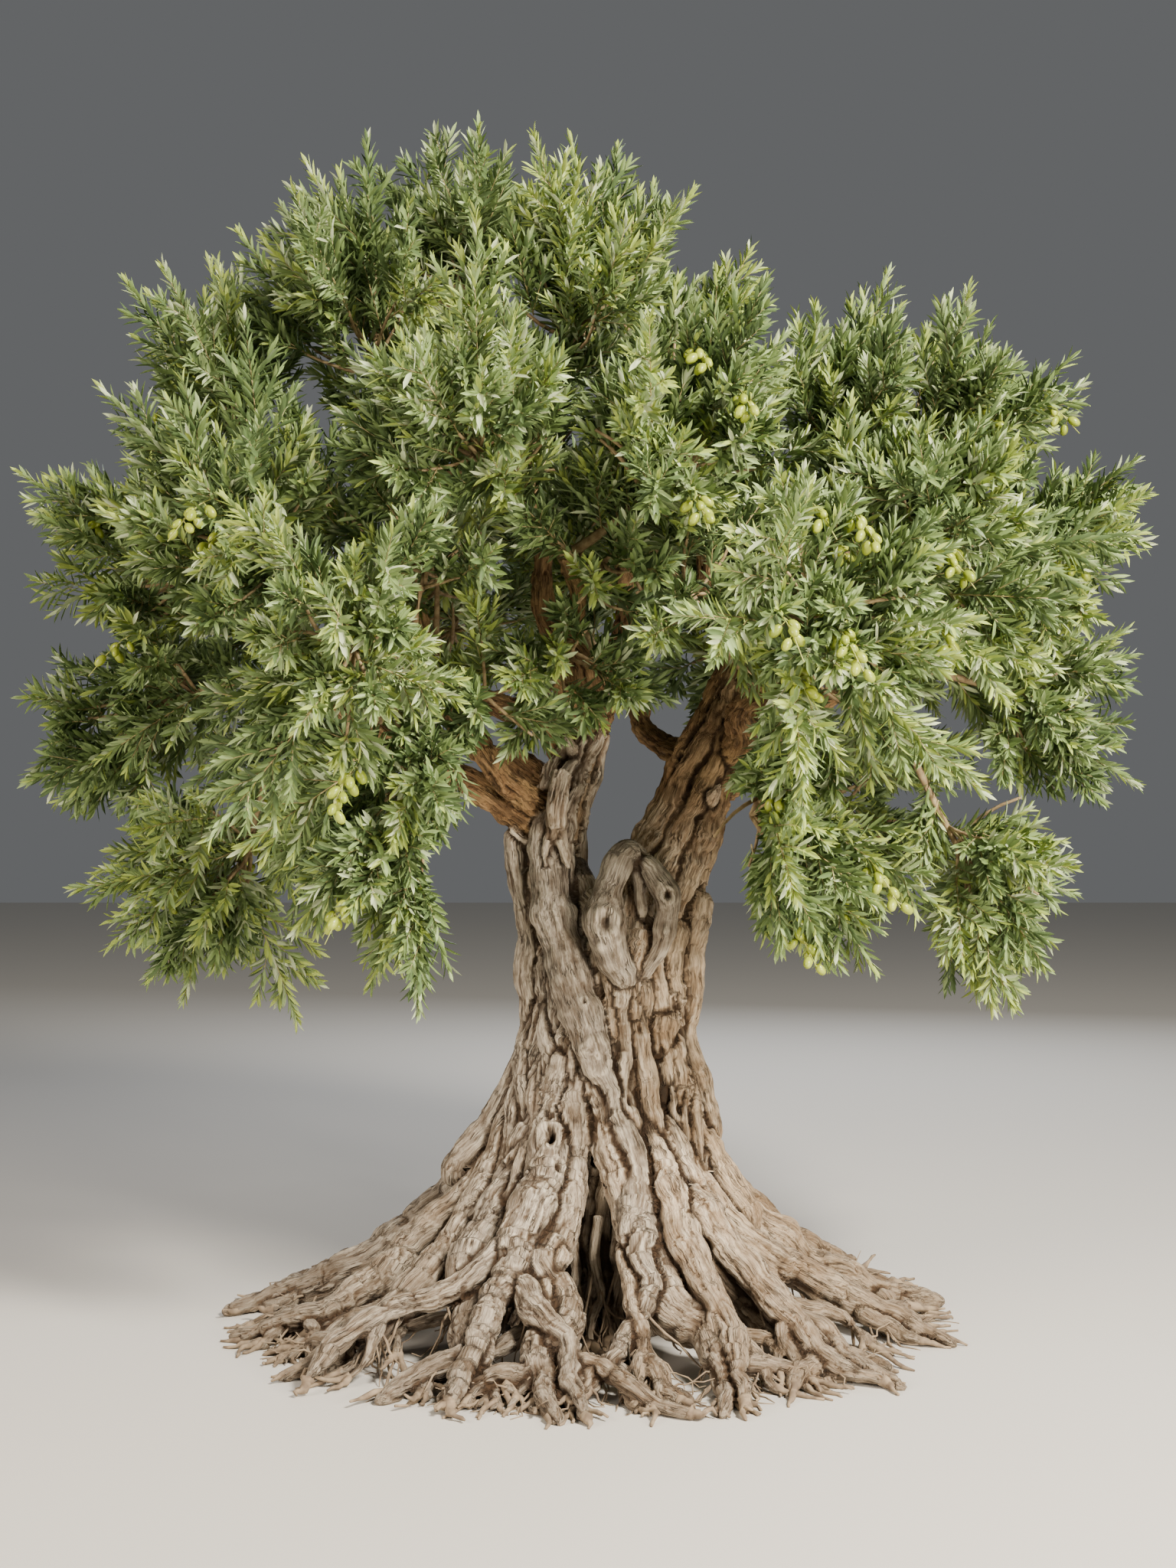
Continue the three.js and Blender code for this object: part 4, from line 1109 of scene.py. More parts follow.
def bark_material():
    """The tints of the wood, dark in its cracks, with painted shade in its hollows, its grooves and under
    its roots, and pale on worn ridges.
    """
    material, shader = new_material("olive bark", Roughness=0.85)
    shader.inputs["Specular IOR Level"].default_value = 0.25
    grain = add_node(material, "ShaderNodeAttribute", output="Vector", attribute_name="grain")
    carried = ("tone", "hollow", "deep", "cracked")
    tone, hollow, deep, cracked = [
        add_node(material, "ShaderNodeAttribute", output="Fac", attribute_name=name) for name in carried
    ]
    place = add_node(material, "ShaderNodeTexCoord", output="Object")
    upward = add_node(material, "ShaderNodeSeparateXYZ", {"Vector": place}, "Z")
    fibre = noise_of(material, grain, (0.0045, 0.060), 4.0, 0.65)
    ridges = noise_of(material, grain, (0.011, 0.110), 3.0, 0.6)

    cracks = []
    for size, roughness, width, spot, low, high, most in CRACKS:
        line = line_of(material, noise_of(material, grain, size, 3.0, roughness), width)
        spots = noise_of(material, place, spot)
        inputs = {"Value": spots, "From Min": low, "From Max": high, "To Max": most}
        where = add_node(material, "ShaderNodeMapRange", inputs)
        cracks.append(add_node(material, "ShaderNodeMath", {0: line, 1: where}, operation="MULTIPLY"))
    lines = add_node(material, "ShaderNodeMath", {0: cracks[0], 1: cracks[1]}, operation="MAXIMUM")

    inputs = {"Value": noise_of(material, place, 0.110, 5.0, 0.6), "From Min": 0.40, "From Max": 0.60}
    patch = add_node(material, "ShaderNodeMapRange", inputs)
    wood, tan, brown = [
        add_node(material, "ShaderNodeMix", {0: patch, 6: low, 7: high}, 2, data_type="RGBA")
        for low, high in BARK_TINTS.values()
    ]
    # What is worn is paler: wood all over, and the limbs' bark along its fibres.
    worn = add_node(material, "ShaderNodeMapRange", {"Value": hollow, "From Min": 0.45, "From Max": 0.10})
    inputs = {"Value": tone, "From Min": 1.5, "From Max": 0.6, "To Max": 0.7}
    is_wood = add_node(material, "ShaderNodeMapRange", inputs)
    pale_wood = add_node(material, "ShaderNodeMath", {0: worn, 1: is_wood}, operation="MULTIPLY")
    inputs = {"Value": fibre, "From Min": 0.4, "From Max": 0.6, "To Max": 0.5}
    is_fibre = add_node(material, "ShaderNodeMapRange", inputs)
    pale_bark = add_node(material, "ShaderNodeMath", {0: worn, 1: is_fibre}, operation="MULTIPLY")
    inputs = {0: pale_bark, 6: brown, 7: "#a88a64"}
    brown = add_node(material, "ShaderNodeMix", inputs, 2, data_type="RGBA")

    # Colours are laid over the grey one by one. In each row: what it follows, the values where it starts and
    # is full, how much of it there is then, and the colour. The last ones darken what is near the ground and
    # the fibres and ridges, paint shade into the wide and the small hollows, and darken the cracks, with
    # painted shade in the grooves between strands.
    layers = [
        (tone, 0.15, 0.95, 1.0, tan),
        (pale_wood, 0.0, 1.0, 1.0, "#e2d6bf"),
        (tone, 1.05, 1.75, 1.0, brown),
        (upward, 0.50, 0.0, 0.72, "#5b5044"),
        (fibre, 0.54, 0.38, 0.55, "#5d4a37"),
        (ridges, 0.52, 0.34, 0.70, "#4f3d29"),
        # painted shade in the wide hollows and under the roots
        (deep, 0.48, 0.86, 0.95, "#2f241a"),
        # painted shade in the small hollows
        (hollow, 0.58, 0.95, 0.75, "#3f2e1d"),
        # real cracks, and painted shade in the grooves between strands
        (cracked, 0.45, 1.0, 0.50, "#463321"),
        (lines, 0.1, 1.0, 0.8, "#32251a"),
    ]
    for source, start, full, most, colour in layers:
        inputs = {"Value": source, "From Min": start, "From Max": full, "To Max": most}
        share = add_node(material, "ShaderNodeMapRange", inputs)
        wood = add_node(material, "ShaderNodeMix", {0: share, 6: wood, 7: colour}, 2, data_type="RGBA")
    material.node_tree.links.new(wood, shader.inputs["Base Color"])

    # The bumps: ridges 8 mm high, fibres of 3 mm on them, and cracks 5 mm deep.
    inputs = {"Height": ridges, "Strength": 0.8, "Distance": 0.008}
    coarse = add_node(material, "ShaderNodeBump", inputs)
    inputs = {"Height": fibre, "Strength": 0.8, "Distance": 0.003, "Normal": coarse}
    fine = add_node(material, "ShaderNodeBump", inputs)
    inputs = {"Height": lines, "Strength": 1.0, "Distance": 0.005, "Normal": fine}
    bumps = add_node(material, "ShaderNodeBump", inputs, invert=True)
    material.node_tree.links.new(bumps, shader.inputs["Normal"])
    return material


BARK = bark_material()
dressed = [(bark_limbs, "bough_bark"), (bark_trunk, "bark")]
dressed += [(piece, "root_bark") for piece in bark_roots.values()]
for piece, slot in dressed:
    wear(piece, BARK)
    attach(piece, "root")
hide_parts(*[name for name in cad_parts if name.startswith(("bough", "leader"))])
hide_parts("trunk")
for name, (start, end) in SECTORS.items():
    replaced = []
    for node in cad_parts:
        if node.startswith("root"):
            middle = (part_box(node)[0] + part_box(node)[1]) / 2
            if (math.degrees(math.atan2(middle.y, middle.x)) - start) % 360 < end - start:
                replaced.append(node)
    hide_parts(*replaced)


# ---------- Masses of foliage: the source's rule ----------

STEM_RADII = (0.009, 0.008)
TWIG_RADII = (0.009, 0.0045)
FOLIAGE_GAP = 0.006
SPRAY_LENGTH, SPRAY_WIDTH, SPRAY_DEPTH = 0.6, 0.37, 0.15  # shares of a mass's radius and of the length
TWIG_LENGTH = 0.5  # as a share of its mass's radius
CROWN_HEART = np.array([0, 0, 1.55])
HANGS_BELOW, RISES_ABOVE, HANG, RISE = 1.35, 2.55, -0.5, 0.3
SHORTENED = (1, 0.75, 0.55)

masses = []
for name, *_, rows in BOUGHS:
    for letter, (turn, out, up, reach) in zip("abc", rows):
        masses.append(
            {
                "name": f"foliage_{name}_{letter}",
                "foot": limbs["bough_" + name][0].at(1.0),
                "middle": polar(turn, out * MM, up * MM),
                "radius": reach * MM,
            }
        )

# Between the masses, sprays fill the heart of the crown: the bough that they grow from and where along
# it, then the turn, distance out, height and radius of their space, in mm.
FILLERS = [
    ("left_front", 0.8, 236, 480, 1700, 300),
    ("left_front", 0.9, 222, 560, 2060, 340),
    ("crown_front", 0.6, 262, 360, 1800, 290),
    ("crown_front", 0.9, 275, 430, 2040, 320),
    ("right_front", 0.7, 300, 500, 1990, 320),
    ("right_front", 0.9, 324, 760, 1740, 320),
    ("right_crown", 0.7, 330, 330, 2330, 330),
    ("crown", 0.7, 200, 260, 2390, 330),
    ("left_high", 0.6, 185, 420, 2080, 320),
    ("left", 0.7, 178, 560, 1830, 300),
    ("right", 0.7, 4, 620, 2020, 320),
    ("right_high", 0.5, 350, 430, 2020, 300),
    ("crown_back", 0.7, 110, 330, 2180, 340),
    ("back", 0.9, 70, 560, 2130, 340),
    ("left_back", 0.8, 138, 520, 1960, 340),
    ("right_back", 0.8, 48, 640, 1880, 320),
    ("right_front", 0.9, 335, 790, 2120, 330),
    ("right_crown", 0.8, 40, 340, 2460, 330),
    ("right_back", 0.9, 48, 960, 2250, 300),
    ("crown_back", 0.9, 95, 760, 2270, 300),
]
fillers = []
for name, at, turn, out, up, reach in FILLERS:
    foot = limbs["bough_" + name][0].at(at)
    fillers.append({"foot": foot, "middle": polar(turn, out * MM, up * MM), "radius": reach * MM})

# What twigs have to miss: the limbs, the trunk and the other masses' stems, as straight pieces.
pieces_from, pieces_to, pieces_thick, pieces_mass = [], [], [], []
for name, (course, (foot, tip)) in limbs.items():
    steps = 12 if name.startswith("leader") else 8
    for k in range(steps):
        pieces_from.append(course.at(k / steps))
        pieces_to.append(course.at((k + 1) / steps))
        pieces_thick.append(mix(foot, tip, k / steps))
        pieces_mass.append(-1)
pieces_from.append(np.zeros(3))
pieces_to.append(np.array([LEAN, 0, TRUNK_TOP]))
pieces_thick.append(WAIST * (1 + WIDEN) + FOLIAGE_GAP)
pieces_mass.append(-1)
for k, mass in enumerate(masses):
    pieces_from.append(mass["foot"])
    pieces_to.append(mass["middle"])
    pieces_thick.append(STEM_RADII[0])
    pieces_mass.append(k)
pieces_from, pieces_to = np.array(pieces_from), np.array(pieces_to)
pieces_thick, pieces_mass = np.array(pieces_thick), np.array(pieces_mass)


def segment_distance(a0, a1, b0, b1):
    """The distance from one line segment to each of many others."""
    u, v, w = a1 - a0, b1 - b0, a0 - b0
    uu, uv, vv = u @ u, v @ u, np.sum(v * v, -1)
    scale = uu * vv - uv * uv
    s = np.clip((uv * np.sum(v * w, -1) - vv * (w @ u)) / np.where(scale > 1e-15, scale, 1), 0, 1)
    s = np.where(scale > 1e-15, s, 0)
    t = np.clip((uv * s + np.sum(v * w, -1)) / vv, 0, 1)
    s = np.clip((uv * t - w @ u) / max(uu, 1e-15), 0, 1)
    return np.linalg.norm(a0 + s[:, None] * u - b0 - t[:, None] * v, axis=1)


def crown_share(points):
    """How far out points lie in the crown's egg: 1 is its surface."""
    x, y, z = (points - CROWN_MIDDLE).T
    height = np.where(z > 0, CROWN_RISE, CROWN_DROP)
    return np.sqrt((x / CROWN_ACROSS) ** 2 + (y / CROWN_DEEP) ** 2 + (z / height) ** 2)


def space_of(k):
    """The fences between a mass and the others, and what its twigs have to miss."""
    mass = masses[k]
    fences = []
    for other in masses:
        if other is mass:
            continue
        across = other["middle"] - mass["middle"]
        share = mass["radius"] / (mass["radius"] + other["radius"])
        fences.append((mass["middle"] + across * share, unit(across)))
    points, ways = np.array([f[0] for f in fences]), np.array([f[1] for f in fences])
    return {"points": points, "ways": ways, "pieces": pieces_mass != k}


def is_clear(space, start, end, corners, half_width):
    """Whether a piece from start to end, with its corners, keeps to its mass's space."""
    corners = np.array(corners)
    if crown_share(corners).max() > 1:
        return False
    beyond = np.einsum("cfi,fi->cf", corners[:, None] - space["points"], space["ways"])
    if (beyond > -FOLIAGE_GAP / 2).any():
        return False
    chosen = space["pieces"]
    away = segment_distance(start, end, pieces_from[chosen], pieces_to[chosen])
    return bool((away > pieces_thick[chosen] + half_width + FOLIAGE_GAP).all())


def bend_at(height):
    """How far the tips of a mass's twigs lift or drop, as a share of their length."""
    return mix(HANG, RISE, smoothstep(height, HANGS_BELOW, RISES_ABOVE))


def sprays_of(start, heading, reach, places, flank, mass, space, draw):
    """Sprays along a twig, by turns on either side, and one on from its tip."""
    droop = bend_at(mass["middle"][2]) * 0.5
    turn = draw() * math.pi
    sprays = []
    for k, place in enumerate(places):
        across = turned(unit(np.cross(heading, UP)), heading, np.array(turn))
        out = 0 if place == 1 else (flank if k % 2 else -flank)
        way = unit(heading + across * out + UP * droop)
        side = turned(unit(np.cross(way, UP)), way, np.array(0.5 + 2 * draw()))
        foot = start + heading * reach * place - way * 0.004
        length = mass["radius"] * SPRAY_LENGTH * (0.9 + 0.2 * draw())
        for share in SHORTENED:
            long = length * share
            width = SPRAY_WIDTH * long / 2
            belly = foot + way * long * 0.42
            face = np.cross(way, side) * SPRAY_DEPTH * long / 2
            tip = foot + way * long
            corners = [belly + side * width, belly + face, belly - side * width, belly - face, tip]
            if is_clear(space, foot, tip, corners, width * 0.8):
                sprays.append({"foot": foot, "way": way, "side": side, "length": long, "lift": 2 * droop})
                break
    return sprays


def twigs_of(mass, space, draw, count, tries, spread=1.5, turn_by=0.0):
    """Twigs round the way that the mass faces, by the golden angle."""
    facing = unit(mass["middle"] - CROWN_HEART)
    across = unit(np.cross(facing, UP))
    over = np.cross(across, facing)
    phase = draw() * 2 * math.pi + turn_by
    stem_way = unit(mass["middle"] - mass["foot"])
    twigs = []
    for k in range(tries):
        if len(twigs) == count:
            break
        along = 1 - spread * (k + 0.5) / tries
        round_ = math.sqrt(1 - along * along)
        angle = phase + k * GOLDEN_TURN
        way = unit(
            facing * along
            + across * round_ * math.cos(angle)
            + over * round_ * math.sin(angle)
            + UP * bend_at(mass["middle"][2])
        )
        reach = mass["radius"] * TWIG_LENGTH * (0.88 + 0.24 * draw())
        start = mass["middle"] - stem_way * mass["radius"] * 0.12 * (k % 3)
        for share in SHORTENED:
            tip = start + way * reach * share
            if is_clear(space, start + way * reach * share * 0.3, tip, [tip], TWIG_RADII[0]):
                twigs.append({"start": start, "way": way, "reach": reach * share})
                break
    return twigs


def twig_wood(twig, foot, tip):
    return (twig["start"], twig["start"] + twig["way"] * twig["reach"], foot, tip)


plumes = []  # leafy sprays: foot, way, side, length and how far they lift or hang
wood = []  # twigs and stems: from, to, radius at both ends
for k, mass in enumerate(masses):
    draw = seeded(500 + k)
    space = space_of(k)
    stem = mass["middle"] - mass["foot"]
    stem_way, stem_reach = unit(stem), np.linalg.norm(stem)
    wood.append((mass["foot"] - stem_way * 0.02, mass["middle"], 0.015, 0.008))
    plumes += sprays_of(mass["foot"], stem_way, stem_reach, (0.5, 0.7), 1.6, mass, space, draw)
    for twig in twigs_of(mass, space, draw, 5, 9):
        wood.append(twig_wood(twig, 0.007, 0.004))
        plumes += sprays_of(twig["start"], twig["way"], twig["reach"], (0.74, 1), 0.8, mass, space, draw)
    # Finer twigs stand between those that the solid has.
    for twig in twigs_of(mass, space, draw, 8, 14, 1.7, 1.1):
        wood.append(twig_wood(twig, 0.006, 0.0035))
        places = (0.35, 0.7, 1)
        plumes += sprays_of(twig["start"], twig["way"], twig["reach"], places, 0.9, mass, space, draw)
    plumes += sprays_of(mass["foot"], stem_way, stem_reach, (0.35, 0.6, 0.85), 1.3, mass, space, draw)

# The fillers' sprays may mingle with those of the masses, but miss the limbs.
open_space = {"points": np.zeros((0, 3)), "ways": np.zeros((0, 3)), "pieces": pieces_mass < 0}
for k, mass in enumerate(fillers):
    draw = seeded(700 + k)
    wood.append((mass["foot"], mass["middle"], 0.011, 0.006))
    for twig in twigs_of(mass, open_space, draw, 8, 11, 1.8):
        wood.append(twig_wood(twig, 0.006, 0.0035))
        places = (0.5, 1)
        plumes += sprays_of(twig["start"], twig["way"], twig["reach"], places, 0.8, mass, open_space, draw)


# In front, no spray hangs before the trunk and its fork, and fewer hang before the limb above it.
FORK_LEFT, FORK_RIGHT, FORK_HIGH = -0.26, 0.40, 1.50
LIMB_LEFT, LIMB_RIGHT, LIMB_HIGH = -0.18, 0.12, 2.10


def hides_fork(plume):
    x, y, z = plume["foot"] + plume["way"] * plume["length"]
    return y < 0 and z < FORK_HIGH and FORK_LEFT < x < FORK_RIGHT


def hides_limb(plume):
    """Whether a spray hangs before the limb that goes on up from the fork."""
    x, y, z = plume["foot"] + plume["way"] * plume["length"]
    return y < -0.1 and FORK_HIGH < z < LIMB_HIGH and LIMB_LEFT < x < LIMB_RIGHT


kept = []
for k, plume in enumerate(plumes):
    if not hides_fork(plume) and not (hides_limb(plume) and k % 2):
        kept.append(plume)
plumes = kept


# ---------- Shoots, leaves and olives ----------

pick = np.random.default_rng(23)

LEAF_LENGTH, LEAF_WIDTH = 0.063, 0.0130
PAIR_STEP = 0.0108  # between two pairs of leaves on a shoot
SIDE_SHOOTS = 6
OUTSIDE = 0.78  # how far out in the crown its outside begins
LONG_SHARE = 0.36  # the share of the outer plumes that stand out of the crown
STANDS_OUT, STAYS_IN = 1.02, (0.82, 0.94)  # how far out such plumes and the others end
PROUD = 0.012  # how far out of the solids' box a shoot may end
LOBE_DEPTH = 0.10  # how far in the hollows between the crown's lobes go
RIGHT_DOME = 0.15  # how much lower than the egg the crown stays on its right


def plume_reach(plume):
    """How far a plume at the crown's outside grows, so that some stand out clear of the others."""
    tip = plume["foot"] + plume["way"] * plume["length"]
    if crown_share(tip[None])[0] < OUTSIDE:
        return plume["length"]
    long = pick.random() < LONG_SHARE
    target = STANDS_OUT if long else pick.uniform(*STAYS_IN)
    lengths = plume["length"] * np.linspace(1.5 if long else 1.1, 0.4, 24)
    tips = plume["foot"] + plume["way"] * lengths[:, None] * 1.04
    # The crown goes in lobes, and its right dome is lower.
    target -= LOBE_DEPTH * smoothstep(billow(unit(tips - CROWN_MIDDLE) * 2.6, 71, 1), 0.05, 0.35)
    above = np.maximum(tips[:, 2] - CROWN_MIDDLE[2], 0)
    tips[:, 2] += RIGHT_DOME * smoothstep(tips[:, 0], 0.10, 0.36) * above
    fits = np.flatnonzero(crown_share(tips) < target)
    return lengths[fits[0]] if len(fits) else lengths[-1]


def shoot(foot, way, length, bend, radius, tone):
    """A leafy shoot. Its line bends by a share of its length."""
    return {"foot": foot, "way": way, "length": length, "bend": bend, "radius": radius, "tone": tone}


shoots = []
for plume in plumes:
    outward = unit(plume["foot"] + plume["way"] * plume["length"] - CROWN_HEART)
    plume["way"] = unit(plume["way"] + outward * 0.25)
    length = plume_reach(plume)
    bend = UP * (0.22 * plume["lift"] + pick.uniform(-0.08, 0.08)) + outward * 0.06
    tone = pick.random()
    shoots.append(shoot(plume["foot"], plume["way"], length, bend, 0.0026, tone))
    plume["shoot"] = shoots[-1]
    for branch in range(SIDE_SHOOTS):
        place = 0.06 + 0.115 * branch + pick.uniform(-0.03, 0.03)
        start = plume["foot"] + length * (plume["way"] * place + bend * place * place / 2)
        swing = (1 if branch % 2 else -1) * pick.uniform(0.5, 0.72)
        way = turned(plume["way"], unit(np.cross(plume["way"], plume["side"])), np.array(swing))
        way = turned(way, plume["way"], np.array(pick.uniform(-0.8, 0.8)))
        long = length * (0.58 - 0.48 * place) * pick.uniform(0.8, 1.15)
        shoots.append(shoot(start, way, long, bend - way * 0.1, 0.0017, tone))


def keeps_in(piece):
    """Whether a shoot ends inside the solids' box or just outside it."""
    tip = piece["foot"] + piece["length"] * (piece["way"] + piece["bend"] / 2)
    low, high = np.array(frame_box)
    return bool((tip > low - PROUD).all() and (tip < high + PROUD).all())


shoots = [piece for piece in shoots if keeps_in(piece)]


def leaves_of(shoots):
    """Every leaf's foot, way, upward face, length and tone, in pairs at right angles to the last."""
    feet, ways, faces, lengths, tones = [], [], [], [], []
    for piece in shoots:
        pairs = max(int(piece["length"] / PAIR_STEP), 3)
        share = np.repeat((np.arange(pairs) + 0.6) / pairs, 2)
        count = len(share)
        heading = unit(piece["way"] + piece["bend"] * share[:, None])
        along = piece["way"] * share[:, None] + piece["bend"] * (share**2 / 2)[:, None]
        across = unit(np.cross(heading, [0.2, 0.1, 1.0]))
        round_ = np.repeat(np.arange(pairs) * math.pi / 2, 2) + np.tile([0, math.pi], pairs)
        round_ = round_ + pick.uniform(-0.3, 0.3, count) + piece["tone"] * 6.3
        out = turned(across, heading, round_)
        open_ = mix(0.82, 0.30, share**2) + pick.uniform(-0.14, 0.14, count)
        way = heading * np.cos(open_)[:, None] + out * np.sin(open_)[:, None]
        face = heading * np.sin(open_)[:, None] - out * np.cos(open_)[:, None] + UP * 0.4
        face = unit(face - way * np.sum(face * way, -1, keepdims=True))
        size = mix(0.70, 1.0, np.sin(np.pi * np.clip(share * 0.8 + 0.15, 0, 1)))
        feet.append(piece["foot"] + piece["length"] * along)
        ways.append(way)
        faces.append(turned(face, way, pick.uniform(-0.6, 0.6, count)))
        lengths.append(size * pick.uniform(0.85, 1.12, count) * LEAF_LENGTH)
        tones.append(0.45 * piece["tone"] + 0.55 * pick.random(count) + 0.22 * smoothstep(share, 0.75, 1))
    return tuple(np.concatenate(part) for part in (feet, ways, faces, lengths, tones))


# A leaf's outline: along, across and up, as shares of its length, half width and half width. It is
# folded a little along its midrib and curls back at its tip.
LEAF_POINTS = np.array(
    [
        (0.00, 0.00, 0.00),
        (0.30, 0.92, 0.34),
        (0.70, 0.88, 0.26),
        (1.00, 0.00, -0.35),
        (0.70, -0.88, 0.26),
        (0.30, -0.92, 0.34),
    ]
)
LEAF_FACES = [(0, 3, 2, 1), (0, 5, 4, 3)]


def repeated_mesh(name, points, faces):
    """One mesh of many like pieces: points is an array of pieces by corners by 3."""
    count, corners = points.shape[:2]
    mesh = bpy.data.meshes.new(name)
    mesh.vertices.add(count * corners)
    mesh.vertices.foreach_set("co", points.astype(np.float32).ravel())
    loops = np.concatenate([np.array(face) for face in faces])
    sizes = np.array([len(face) for face in faces])
    all_loops = (np.arange(count)[:, None] * corners + loops).ravel()
    mesh.loops.add(len(all_loops))
    mesh.loops.foreach_set("vertex_index", all_loops.astype(np.int32))
    starts = np.concatenate([[0], np.cumsum(np.tile(sizes, count))[:-1]])
    mesh.polygons.add(count * len(faces))
    mesh.polygons.foreach_set("loop_start", starts.astype(np.int32))
    mesh.update(calc_edges=True)
    mesh.validate()
    mesh.polygons.foreach_set("use_smooth", np.ones(len(mesh.polygons), bool))
    piece = bpy.data.objects.new(name, mesh)
    bpy.context.scene.collection.objects.link(piece)
    return piece


def leaf_piece(name, feet, ways, faces, lengths):
    sides = np.cross(faces, ways)
    along, across, up = LEAF_POINTS.T
    half = LEAF_WIDTH / 2 * (lengths / LEAF_LENGTH)
    points = (
        feet[:, None]
        + ways[:, None] * (along[None, :] * lengths[:, None])[..., None]
        + sides[:, None] * (across[None, :] * half[:, None])[..., None]
        + faces[:, None] * (up[None, :] * half[:, None])[..., None]
    )
    return repeated_mesh(name, points, LEAF_FACES)


def drifting_material(name, colour, other, roughness, size, specular=0.3):
    """A material whose colour drifts between two close ones, with patches of a size in metres."""
    material, shader = new_material(name, Roughness=roughness)
    shader.inputs["Specular IOR Level"].default_value = specular
    place = add_node(material, "ShaderNodeTexCoord", output="Object")
    inputs = {"Value": noise_of(material, place, size, 2.0), "From Min": 0.35, "From Max": 0.65}
    share = add_node(material, "ShaderNodeMapRange", inputs)
    drift = add_node(material, "ShaderNodeMix", {0: share, 6: colour, 7: other}, 2, data_type="RGBA")
    material.node_tree.links.new(drift, shader.inputs["Base Color"])
    return material


# Leaves in five tones. Those near a shoot's tip are more often silver or fresh green. In each row: the
# material's name, the share of the leaves up to it, and its two close colours.
LEAF_TONES = [
    ("olive leaf deep", 0.20, "#4f633a", "#5b7145"),
    ("olive leaf green", 0.53, "#697f47", "#768b53"),
    ("olive leaf sage", 0.77, "#7e945e", "#8ca16b"),
    ("olive leaf silver", 0.87, "#a5b48a", "#b6c29b"),
    ("olive leaf fresh", 1.00, "#92a54c", "#a4b55e"),
]
LEAF_TRIANGLES = 4
MOST_TRIANGLES = 195000  # in one piece

feet, ways, faces, lengths, tones = leaves_of(shoots)
ranks = np.empty(len(tones))
ranks[np.argsort(tones)] = (np.arange(len(tones)) + 0.5) / len(tones)
low = 0
foliage_pieces = []
for name, high, colour, other in LEAF_TONES:
    chosen = np.flatnonzero((ranks >= low) & (ranks < high))
    low = high
    parts = math.ceil(len(chosen) * LEAF_TRIANGLES / MOST_TRIANGLES)
    material = drifting_material(name, colour, other, 0.5, 0.07, 0.35)
    for part, index in enumerate(np.array_split(chosen, parts)):
        label = f"{name.replace(' ', '_')}_{part + 1}"
        piece = leaf_piece(label, feet[index], ways[index], faces[index], lengths[index])
        wear(piece, material)
        foliage_pieces.append(piece)


def rod_piece(name, lines, radii, sides):
    """Tapering rods of equally many rings: lines is an array of rods by rings by 3."""
    heading = unit(np.gradient(lines, axis=1))
    across = unit(np.cross(heading, np.array([0.13, 0.21, 0.97])))
    over = np.cross(heading, across)
    angle = np.arange(sides) * 2 * math.pi / sides
    ring = (
        across[:, :, None] * np.cos(angle)[None, None, :, None]
        + over[:, :, None] * np.sin(angle)[None, None, :, None]
    )
    points = lines[:, :, None] + ring * radii[:, :, None, None]
    count, rings = lines.shape[:2]
    faces = []
    for r in range(rings - 1):
        for s in range(sides):
            n = (s + 1) % sides
            faces.append((r * sides + s, r * sides + n, (r + 1) * sides + n, (r + 1) * sides + s))
    faces.append(tuple(range(sides))[::-1])
    faces.append(tuple((rings - 1) * sides + s for s in range(sides)))
    return repeated_mesh(name, points.reshape(count, rings * sides, 3), faces)


def gathered(pieces, field):
    return np.array([piece[field] for piece in pieces])


def shoot_lines(shoots, rings):
    share = np.linspace(0, 1, rings)
    along = gathered(shoots, "way")[:, None] * share[None, :, None]
    along = along + gathered(shoots, "bend")[:, None] * (share**2 / 2)[None, :, None]
    lines = gathered(shoots, "foot")[:, None] + gathered(shoots, "length")[:, None, None] * along
    return lines, gathered(shoots, "radius")[:, None] * mix(1.0, 0.4, share)[None, :]


shoot_piece = rod_piece("shoots", *shoot_lines(shoots, 4), 3)
starts, ends = np.array([w[0] for w in wood]), np.array([w[1] for w in wood])
share = np.linspace(0, 1, 5)
lines = starts[:, None] + (ends - starts)[:, None] * share[None, :, None]
sag = np.sin(np.pi * share)[None, :, None] * pick.uniform(-0.02, 0.02, (len(wood), 1, 3))
radii = mix(np.array([w[2] for w in wood])[:, None], np.array([w[3] for w in wood])[:, None], share)
twig_piece = rod_piece("twigs", lines + sag, radii, 6)
wear(shoot_piece, drifting_material("young olive shoot", "#a3925f", "#c6b684", 0.7, 0.017))
wear(twig_piece, drifting_material("olive twig bark", "#7d684a", "#a3906b", 0.75, 0.017))

# Olives hang in clusters on thin stems under the shoots.
OLIVE_LENGTH, OLIVE_WIDTH = 0.036, 0.024
CLUSTERS = 100
STEM_LENGTH, STEM_OUT = 0.13, 0.13
OLIVE_RINGS, OLIVE_SIDES = 5, 8


def olive_corners():
    """An olive's corners round its length, from its foot to its tip, and its faces."""
    angles = np.linspace(0, math.pi, OLIVE_RINGS + 2)[1:-1]
    round_ = np.arange(OLIVE_SIDES) * 2 * math.pi / OLIVE_SIDES
    corners = [(0, 0, 0)]
    for a in angles:
        corners += [(math.sin(a) * math.cos(r), math.sin(a) * math.sin(r), 1 - math.cos(a)) for r in round_]
    corners.append((0, 0, 2))
    last = len(corners) - 1
    faces = []
    for s in range(OLIVE_SIDES):
        n = (s + 1) % OLIVE_SIDES
        faces.append((0, 1 + n, 1 + s))
        for r in range(OLIVE_RINGS - 1):
            low, high = 1 + r * OLIVE_SIDES, 1 + (r + 1) * OLIVE_SIDES
            faces.append((low + s, low + n, high + n, high + s))
        faces.append((last, last - OLIVE_SIDES + s, last - OLIVE_SIDES + n))
    return np.array(corners) * [OLIVE_WIDTH / 2, OLIVE_WIDTH / 2, OLIVE_LENGTH / 2], faces


